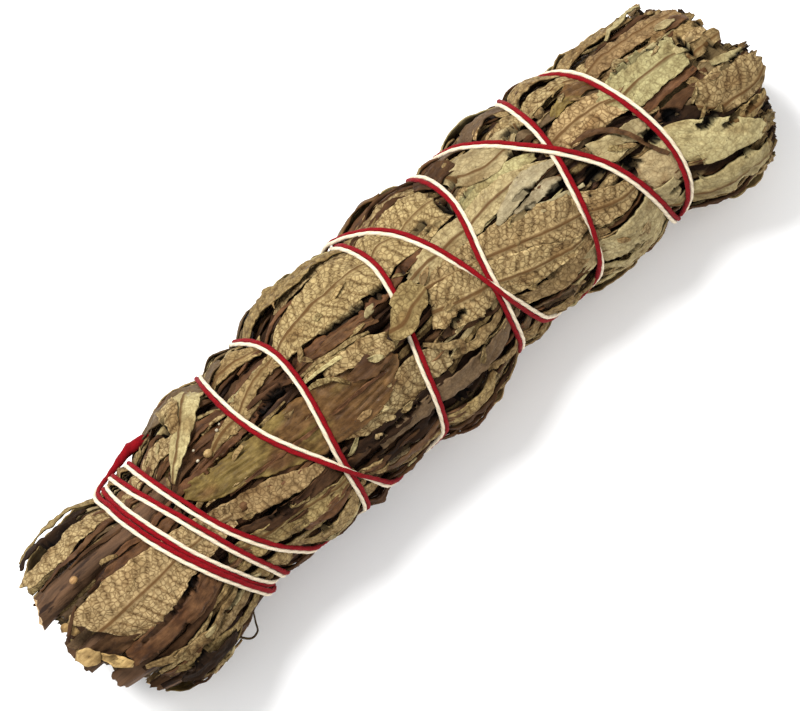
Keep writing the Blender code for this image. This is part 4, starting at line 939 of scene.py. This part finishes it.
def fillers(shell, rng, sprig):
    """Narrow leaf edges and twigs that lie between the larger leaves, deeper than they do."""
    for k in range(FILLERS):
        start = rng.uniform(*FILLER_STARTS)
        length = min(rng.uniform(*FILLER_LENGTHS), FILLER_LIMIT - start)
        wide = rng.uniform(*FILLER_WIDTHS)
        low, high = sector(sprig, start, 3)
        angle = rng.uniform(low, high)
        turn = rng.uniform(-5, 5)
        widths = [(s, wide * (0.4 + 2.2 * s * (1.1 - s))) for s in (0, 0.25, 0.5, 0.75, 1)]
        knots = line_of(max(start, cut_end(SKIN_REACH, angle)), length, angle, turn, widths, low, high)
        leaf(shell, rng, FILLER_KINDS[k % len(FILLER_KINDS)], rng.uniform(-1.5, -0.3), knots,
             step=FILLER_STEP, bend=rng.uniform(-1.2, 1.2), thick=NARROW_THICK)


def strips(shell, rng, sprig):
    """Leaf edges and fibres that show between the large leaves, about as high as they are."""
    for k in range(STRIPS):
        start = rng.uniform(*STRIP_STARTS)
        length = min(rng.uniform(*STRIP_LENGTHS), STRIP_LIMIT - start)
        low, high = sector(sprig, start, 2)
        angle = rng.uniform(low, high)
        turn = rng.uniform(-7, 7)
        wide = rng.uniform(*STRIP_WIDTHS)
        widths = [(s, wide * w) for s, w in ((0, 0.6), (0.4, 1.0), (0.75, 0.9), (1, 0.4))]
        knots = line_of(max(start, cut_end(SKIN_REACH, angle)), length, angle, turn, widths, low, high)
        leaf(shell, rng, STRIP_KINDS[k % len(STRIP_KINDS)], rng.uniform(-0.4, 0.45), knots,
             step=STRIP_STEP, bend=rng.uniform(-0.4, 0.8), thick=NARROW_THICK)


def hidden_leaves(shell, rng, sprig):
    """The leaves on the sides that the photograph doesn't show."""
    order = list(HIDDEN_STARTS)
    rng.shuffle(order)
    for k, start in enumerate(order):
        kind = HIDDEN_KINDS[(k + sprig) % len(HIDDEN_KINDS)]
        length = rng.uniform(16, 40)
        centre = sum(sector(sprig, start, 0)) / 2 + rng.uniform(-13, 13)
        start = max(start + rng.uniform(-2.5, 2.5), cut_end(SKIN_REACH, centre))
        end = min(start + length, tip_end(MEAN_RADIUS, centre) - rng.uniform(0, 5))
        wide = rng.uniform(2.0, 5.6) if end - start > 10 else rng.uniform(1.5, 3.0)
        drift = rng.uniform(-9, 9)
        cut = start < -72 or end > 66
        widths = (0.55, 0.95, 1.0, 0.85, 0.5) if cut else (0.2, 0.8, 1.0, 0.75, 0.12)
        widths = [(s, wide * w) for s, w in zip((0, 0.22, 0.5, 0.78, 1), widths)]
        rib = rng.uniform(-0.25, 0.25) if wide > 2.4 else None
        lift = 0.1 + 0.75 * (k % 3) / 2 + rng.uniform(0, 0.3)
        knots = line_of(start, end - start, centre, drift, widths)
        leaf(shell, rng, kind, lift, knots, rib, step=HIDDEN_STEP)


def end_layers(shell, rng, sprig):
    """Leaf layers inside the bundle, which show at its two ends."""
    for count, start, kinds in END_LAYERS:
        for k in range(count):
            reach = rng.uniform(4.0, 16.0)
            angle = FIRST_ANGLE + SECTOR * sprig + rng.uniform(-20, 20)
            end = rng.uniform(0.0, 6.0)
            end = cut_end(reach, angle) + end if start < 0 else tip_end(reach, angle) - end
            wide = rng.uniform(0.9, 2.8)
            turn = rng.uniform(-6, 6)
            lift = reach - float(skin(start, angle))
            knots = [(start + (end - start) * s, angle + turn * s * 9 / max(reach, 5),
                      wide * w * MEAN_RADIUS / max(reach, 7)) for s, w in ((0, 0.7), (0.5, 1.0), (1, 0.75))]
            leaf(shell, rng, kinds[k % len(kinds)], lift, knots, step=END_STEP, bend=rng.uniform(-1.5, 1.5),
                 dips=(0.0, -0.4), depth_shade=0.25)


def crumbs(shell, rng, sprig):
    """Broken flakes of leaf among the tips at +X."""
    for k in range(CRUMBS):
        x = rng.uniform(*CRUMB_STARTS)
        angle = FIRST_ANGLE + SECTOR * sprig + rng.uniform(-22, 22)
        length, wide = rng.uniform(*CRUMB_LENGTHS), rng.uniform(*CRUMB_WIDTHS)
        length = max(1.2, min(length, tip_end(16.0, angle) - x))
        turn = rng.uniform(-12, 12)
        knots = line_of(x, length, angle, turn, [(s, wide * w) for s, w in ((0, 0.4), (0.5, 1), (1, 0.35))])
        lift = rng.uniform(-2.4, 0.5) - 0.6 * max(0, x + length - 69)
        leaf(shell, rng, CRUMB_KINDS[k % len(CRUMB_KINDS)], lift, knots, step=SCRAP_STEP,
             bend=rng.uniform(-1, 1.5), dips=(0.3, -0.3), depth_shade=0.2)


def laid_height(x, angle):
    """Height over the skin of the leaves that already lie at a place."""
    i, j = round((x - XS[0]) / X_STEP), round(angle % 360.0 / A_STEP)
    near = HEIGHT.take(range(j - 1, j + 2), axis=1, mode="wrap")[i - 1 : i + 2]
    return float(near.max()) - float(skin(x, angle))


def flakes(shell, rng, sprig, kinds):
    """Small torn scraps all along the bundle, lying on the leaves with their first ends sunk in."""
    for k in range(FLAKES):
        x = rng.uniform(*FLAKE_STARTS)
        angle = rng.uniform(*sector(sprig, x, 2))
        x = max(x, cut_end(SKIN_REACH, angle))
        length, wide = rng.uniform(*FLAKE_LENGTHS), rng.uniform(*FLAKE_WIDTHS)
        turn = rng.uniform(-7, 7)
        knots = line_of(x, length, angle, turn, [(s, wide * w) for s, w in ((0, 0.35), (0.5, 1), (1, 0.3))])
        lift = min(laid_height(x, angle), laid_height(x + length, angle + turn)) + rng.uniform(0.0, 0.3)
        if lift > FLAKE_DEEPEST:
            leaf(shell, rng, kinds[k % len(kinds)], lift, knots, step=SCRAP_STEP,
                 bend=rng.uniform(-0.5, 1.2), dips=(0.7, 0.0), depth_shade=0.3)


def seen_leaf(shell, rng, kind, lift, knots, rib=None, slant=0.0):
    """A leaf that the photograph shows. The threads don't press one that is laid just over them."""
    points = [(x, float(seen_angle(x, y)), wide) for x, y, wide in knots]
    over = OVER_THREAD[0] < lift < OVER_THREAD[1]
    leaf(shell, rng, kind, lift, points, rib, over_thread=over, slant=slant)


def sprig_piece(sprig, materials):
    """One sprig's leaves, as one piece that stands for its node."""
    rng = np.random.default_rng(100 + sprig)
    shell = Shell()
    entries = [entry for number, *entry in SEEN if number == sprig]
    sprig_core(shell, rng, sprig)
    fillers(shell, rng, sprig)
    if entries:
        strips(shell, rng, sprig)
    for entry in entries:
        seen_leaf(shell, rng, *entry)
    if not entries:
        hidden_leaves(shell, rng, sprig)
    if sprig == BEAD_SPRIG:
        for spot in BEADS:
            bead(shell, *spot)
    if sprig == TENDRIL_SPRIG:
        tendril(shell, TENDRIL, TENDRIL_SIZE, TENDRIL_TINT)
    end_layers(shell, rng, sprig)
    crumbs(shell, rng, sprig)
    flakes(shell, rng, sprig, FLAKE_KINDS if entries else DULL_FLAKE_KINDS)
    piece = shell.made(f"leaf_bunch_{sprig + 1}", materials)
    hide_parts(f"leaves_{sprig + 1}")


def middle_piece(materials):
    """The middle sprig's leaves, which show only at the ends, round a near-black core: partly dark leaf and
    partly painted shade deep inside the bundle.
    """
    rng = np.random.default_rng(200)
    shell = Shell()
    for start, end in MIDDLE_ENDS:
        for k in range(MIDDLE_LEAVES):
            reach, angle = rng.uniform(3.4, 6.0), rng.uniform(0, 360)
            tip = end + rng.uniform(-2.5, 2.0) * np.sign(end)
            lift = reach - float(skin(start, angle))
            knots = line_of(start, tip - start, angle, 0, ((0, 4.0), (0.5, 5.0), (1, 3.5)))
            leaf(shell, rng, MIDDLE_KINDS[k % len(MIDDLE_KINDS)], lift, knots, step=END_STEP,
                 bend=rng.uniform(-1, 1), dips=(0.0, 0.0), depth_shade=0.3)
    x = np.arange(CORE_START + 2, CORE_END - 1, 2.0)[:, None]
    angle = np.linspace(0, 360, 24, endpoint=False)[None, :] + 0 * x
    xs = x + 0 * angle
    # The core is painted near black: partly the dark inner leaves, partly painted shade deep in the bundle
    tube(shell, in_space(xs, angle, 6.2 + 0.3 * np.sin(xs)), (0.03, 0.018, 0.010), (0.6, 0, 0))
    piece = shell.made("leaf_bunch_10", materials)
    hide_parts("leaves_10")


def tube(shell, rings, tint, marks, end_slot=0):
    """A closed tube from rings of points (rows, sides, 3), with a fan over each end."""
    rows, sides = rings.shape[:2]
    i, j = np.arange(rows - 1)[:, None], np.arange(sides)[None, :]
    a, b = i * sides + j, i * sides + (j + 1) % sides
    wall = np.stack([a, b, b + sides, a + sides], axis=-1).reshape(-1, 4)
    marks = np.broadcast_to(marks, (rows, sides, 3)).reshape(-1, 3)
    shell.add(rings.reshape(-1, 3), [wall], tint, marks)
    for row, flip in ((0, False), (rows - 1, True)):
        rim, centre = rings[row], rings[row].mean(axis=0)
        cap = np.concatenate([rim, centre + (rim - centre) * 0.5, centre[None, :]])
        j = np.arange(sides)
        k = (j + 1) % sides
        quads = np.stack([j + sides, k + sides, k, j], axis=-1)
        fan = np.stack([k + sides, j + sides, np.full(sides, 2 * sides)], axis=-1)
        faces = [quads[:, ::-1] if flip else quads, fan[:, ::-1] if flip else fan]
        shell.add(cap, faces, tint, marks[0], end_slot)


def bead(shell, x, aside, reach, size, tint):
    """A small rounded bud or drop of resin on the surface."""
    angle = float(seen_angle(x, aside))
    turn = math.radians(angle)
    out = np.array([0, math.cos(turn), math.sin(turn)])
    beside = np.array([0, -math.sin(turn), math.cos(turn)])
    centre = in_space(np.array(x, float), angle, float(skin(x, angle)) + reach)
    a = (np.arange(10) * math.pi / 5)[:, None]
    round_it = 1.2 * np.cos(a) * np.array([1, 0, 0]) + np.sin(a) * beside
    rings = [centre + size * (math.sin(t) * round_it + 0.9 * math.cos(t) * out)
             for t in np.linspace(0.3, math.pi - 0.3, 7)]
    tube(shell, np.stack(rings), tint, (0.35, 0, 0))


def tendril(shell, knots, size, tint):
    """A thin curled stalk that stands off the bundle's lower edge; its knots are (x, y as seen)."""
    places, asides = np.array(knots, float).T
    run = run_of(places, asides)
    at = np.arange(0, run[-1], 0.25)
    x, y = curve(run, places, at), curve(run, asides, at)
    line = in_space(x, np.full(len(x), LOOK_ANGLE + 180.0), along(MIDDLE, x) - y)
    ahead = np.gradient(line, axis=0)
    ahead /= np.linalg.norm(ahead, axis=1)[:, None]
    look = math.radians(LOOK_ANGLE + 90)
    up = np.array([0, math.cos(look), math.sin(look)])
    side = np.cross(ahead, up)
    a = (np.arange(8) * math.pi / 4)[None, :, None]
    thick = (size * (1 - 0.5 * at / run[-1]))[:, None, None]
    rings = line[:, None, :] + thick * (np.cos(a) * side[:, None, :] + np.sin(a) * up)
    tube(shell, rings, tint, (0.7, 0, 0))


# The stems


def stem_piece(number, materials):
    """A cut woody stem: ridged bark, knots where leaves grew, and a slanted face of pale wood."""
    rng = np.random.default_rng(300 + number)
    shell = Shell()
    if number < SPRIGS:
        angle, depth, radius, end = STEMS[number]
        start = STEM_STARTS[number]
        x = np.arange(start, end, STEM_STEP)
        sink = eased(x, STEM_SINK_FROM, STEM_SINK_TO)
        turn = np.radians(angle + (FIRST_ANGLE + SECTOR * number - angle) * sink)
        reach = along(RADIUS, x) + STEM_LOFT - depth - (STEM_SINKS_TO - depth) * sink
    else:
        radius, start, end = MIDDLE_STEM
        x = np.arange(start, end, MIDDLE_STEP)
        turn, reach = 0 * x, 0 * x
    size = radius * (1 - STEM_TAPER * (x - start) / (end - start))
    a = (np.arange(STEM_SIDES) * 2 * math.pi / STEM_SIDES)[None, :]
    xs = x[:, None] + 0 * a
    around = np.stack([np.cos(a) + 0 * xs, np.sin(a) + 0 * xs])
    ridges = ripples(rng, xs * 0.12, around[0] * radius * 2, 1.5)
    ridges = ridges + ripples(rng, xs * 0.12, around[1] * radius * 2, 1.5)
    fibres = ripples(rng, xs * 0.2, a * radius + 0 * xs, 0.8)
    grown = 1 + 0.08 * ridges + 0.07 * ripples(rng, xs, around[1] * 3, 7.0) + 0.05 * fibres
    for place in rng.uniform(start + BUD_PLACES[0], start + BUD_PLACES[1], BUDS):
        way = rng.uniform(0, 2 * math.pi)
        beside = (np.mod(a - way + math.pi, 2 * math.pi) - math.pi) * radius
        grown = grown + BUD_HEIGHT * bell(np.hypot(xs - place, beside), BUD_WIDTH) / radius
    across = size[:, None] * grown
    slant = CUT_SLANT * size[0] * np.sin(a + number) + 0.35 * ripples(rng, 3 * around[0], 3 * around[1], 2.5)
    slant = slant * (1 - eased(xs, start, start + CUT_REACH))
    y = along(MIDDLE, x)[:, None] + (reach * np.cos(turn))[:, None] + across * np.cos(a)
    z = AXIS_HEIGHT + (reach * np.sin(turn))[:, None] + across * np.sin(a)
    tube(shell, np.stack([xs + slant, y, z], axis=-1), (0.1, 0.05, 0.03), (0.6, 0, 0), end_slot=1)
    aside, up = y - along(MIDDLE, xs), z - AXIS_HEIGHT
    note_height(xs, np.degrees(np.arctan2(up, aside)), np.hypot(aside, up))
    piece = shell.made(f"bark_stem_{number + 1}", materials)
    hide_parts(f"stem_{number + 1}")


# The threads


def highest_round(table):
    """The highest value of the nine places round each place of a table."""
    return np.maximum.reduce([np.roll(np.roll(table, i, 0), j, 1) for i in (-1, 0, 1) for j in (-1, 0, 1)])


def thread_line():
    """The pair's middle line, its outward and sideways directions, and its twist."""
    x, angle, twist = route_points(THREAD_STEP)
    filled = HEIGHT.copy()
    for _ in range(3):
        filled = highest_round(filled) * (filled == 0) + filled
    raised = looked_up((filled + highest_round(filled)) / 2, x, angle) + 0.28 * STRAND
    count = len(x)

    # Where the pair crosses an earlier turn, it goes over it
    apart = int(CROSSING_APART / THREAD_STEP)
    for i in range(apart, count):
        turn = (angle[: i - apart] - angle[i] + 180.0) % 360.0 - 180.0
        gap = np.hypot(x[: i - apart] - x[i], np.radians(turn) * MEAN_RADIUS)
        near = gap < CROSSING_REACH
        if near.any():
            rise = CROSSING_RISE * STRAND * eased(CROSSING_REACH - gap[near], 0.0, 1.5)
            raised[i] = max(raised[i], (raised[: i - apart][near] + rise).max())

    # Pulled tight, it goes straight from one high place to the next
    offsets = np.arange(1, int(TAUT_REACH / THREAD_STEP) + 1, 2)
    tight = raised.copy()
    for m in offsets:
        for n in offsets:
            i = np.arange(m, count - n)
            back = np.abs(np.radians(angle[i - m] - angle[i])) + 1e-6
            on = np.abs(np.radians(angle[i + n] - angle[i])) + 1e-6
            first, last = raised[i - m], raised[i + n]
            chord = first * last * np.sin(back + on) / (first * np.sin(back) + last * np.sin(on))
            tight[i] = np.maximum(tight[i], np.where(back + on > 0.02, chord, 0))
    kernel = bell(np.arange(-8, 9), 4.0)
    padded = np.pad(tight, 8, mode="edge")
    smooth = np.convolve(padded, kernel / kernel.sum(), mode="valid")
    line = in_space(x, angle, np.maximum(smooth, tight - 0.12))
    turn = np.radians(angle)
    out = np.stack([0 * turn, np.cos(turn), np.sin(turn)], axis=-1)
    ahead = np.gradient(line, axis=0)
    ahead /= np.linalg.norm(ahead, axis=1)[:, None]
    side = np.cross(ahead, out)
    side /= np.linalg.norm(side, axis=1)[:, None]
    return line, ahead, out, side, twist


def thread_piece(name, replaced, sign, parts, material):
    """One strand: two plies twisted together. The one whose sign is 1 is longer, and ends in the knot."""
    line, ahead, out, side, twist = parts
    rng = np.random.default_rng(401 + sign)
    run = np.arange(len(line)) * THREAD_STEP
    turn = math.pi * twist[:, None]
    wander = 0.06 * ripples(rng, run, 0 * run, 9.0)[:, None]
    centre = line + sign * (PAIR + wander) * (np.cos(turn) * side + np.sin(turn) * out)
    size = STRAND * (1 + 0.09 * sign) * (1 + 0.05 * ripples(rng, run, 0 * run, 4.0))
    if sign > 0:
        knot = np.interp(np.arange(len(run)), len(run) - 1 - np.array(KNOT_PLACES), KNOT, left=0)
        size = np.maximum(size, knot * KNOT_SHARE)
    else:
        centre, size, run, side, ahead = (v[:-SHORTER] for v in (centre, size, run, side, ahead))
    a = (np.arange(SIDES) * 2 * math.pi / SIDES)[None, :]
    lobes = np.cos(2 * (a - (2 * math.pi * run / PLY_TURN / 2)[:, None]))
    lift = np.cross(side, ahead)
    reach = size[:, None] * (1 - PLY_DEPTH / 2 + PLY_DEPTH * lobes)
    rings = centre[:, None, :] + reach[..., None] * (
        np.cos(a)[..., None] * side[:, None, :] + np.sin(a)[..., None] * lift[:, None, :])
    # The second mark says where painted shade falls, in the grooves between the plies
    marks = np.stack([0.8 + 0 * lobes, eased(-lobes, -0.2, 1.0), 0 * lobes], axis=-1)
    shell = Shell()
    tube(shell, rings, (0.5, 0.5, 0.5), marks)
    piece = shell.made(name, [material])
    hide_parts(replaced)


# The floor, the light and the camera


def studio():
    """A plain pale floor, soft light from the upper left of the picture, and the camera."""
    mesh = bpy.data.meshes.new("floor")
    corners = [(FLOOR_HALF * a, FLOOR_HALF * b, 0) for a, b in ((-1, -1), (1, -1), (1, 1), (-1, 1))]
    mesh.from_pydata(corners, [], [(0, 1, 2, 3)])
    floor = linked("floor", mesh)

    def pale(tree, shader):
        colour = mixed(tree, "MIX", noise(tree, 3.0, 2.0), (0.93, 0.93, 0.93), (0.95, 0.95, 0.95))
        finish(tree, shader, colour, 0.9)

    mesh.materials.append(node_material("pale_floor", pale))

    world = bpy.data.worlds.new("studio")
    world.use_nodes = True
    background = world.node_tree.nodes["Background"]
    background.inputs["Color"].default_value = (1, 1, 1, 1)
    background.inputs["Strength"].default_value = WORLD_LIGHT
    bpy.context.scene.world = world

    target = Vector((0, 0, AXIS_HEIGHT * MM))
    right, up, back = camera_axes()
    for name, across, high, near, width, power in LAMPS:
        lamp = bpy.data.lights.new(name, "AREA")
        lamp.shape, lamp.size, lamp.energy = "DISK", width, power
        holder = linked(name, lamp)
        holder.location = target + right * across + up * high + back * near
        holder.rotation_mode = "QUATERNION"
        holder.rotation_quaternion = (holder.location - target).to_track_quat("Z", "Y")

    camera = bpy.data.cameras.new("camera")
    camera.lens, camera.sensor_width, camera.clip_start = LENS, SENSOR, 0.01
    holder = linked("camera", camera)
    aim = Vector(CAMERA_AIM) * MM
    turn = Matrix((right, up, back)).transposed().to_4x4()
    holder.matrix_world = Matrix.Translation(aim + back * CAMERA_DISTANCE) @ turn
    bpy.context.scene.camera = holder
    bpy.context.scene.view_settings.view_transform = "Standard"


def camera_axes():
    """Right, up and back directions of the camera, which sees the bundle's axis rise to the right."""
    lean, turn = math.radians(LOOK_ANGLE), math.radians(PICTURE_TURN)
    back = Vector((0, -math.sin(lean), math.cos(lean)))
    across = back.cross(Vector((1, 0, 0)))
    right = Vector((math.cos(turn), 0, 0)) - across * math.sin(turn)
    up = Vector((math.sin(turn), 0, 0)) + across * math.cos(turn)
    return right, up, back


def main():
    studio()
    leaves = node_material("dried_leaf", leaf_material)
    bark = node_material("bark", bark_material)
    wood = node_material("cut_wood", wood_material)
    for sprig in range(SPRIGS):
        sprig_piece(sprig, [leaves])
    middle_piece([leaves])
    for number in range(SPRIGS + 1):
        stem_piece(number, [bark, wood])
    parts = thread_line()
    red = node_material("red_cotton", cotton_material(RED, DARK_RED, 0.02))
    cream = node_material("cream_cotton", cotton_material(CREAM, DARK_CREAM, 0.15))
    thread_piece("white_strand", "white_thread", -1, parts, cream)
    thread_piece("red_strand", "red_thread", 1, parts, red)


main()
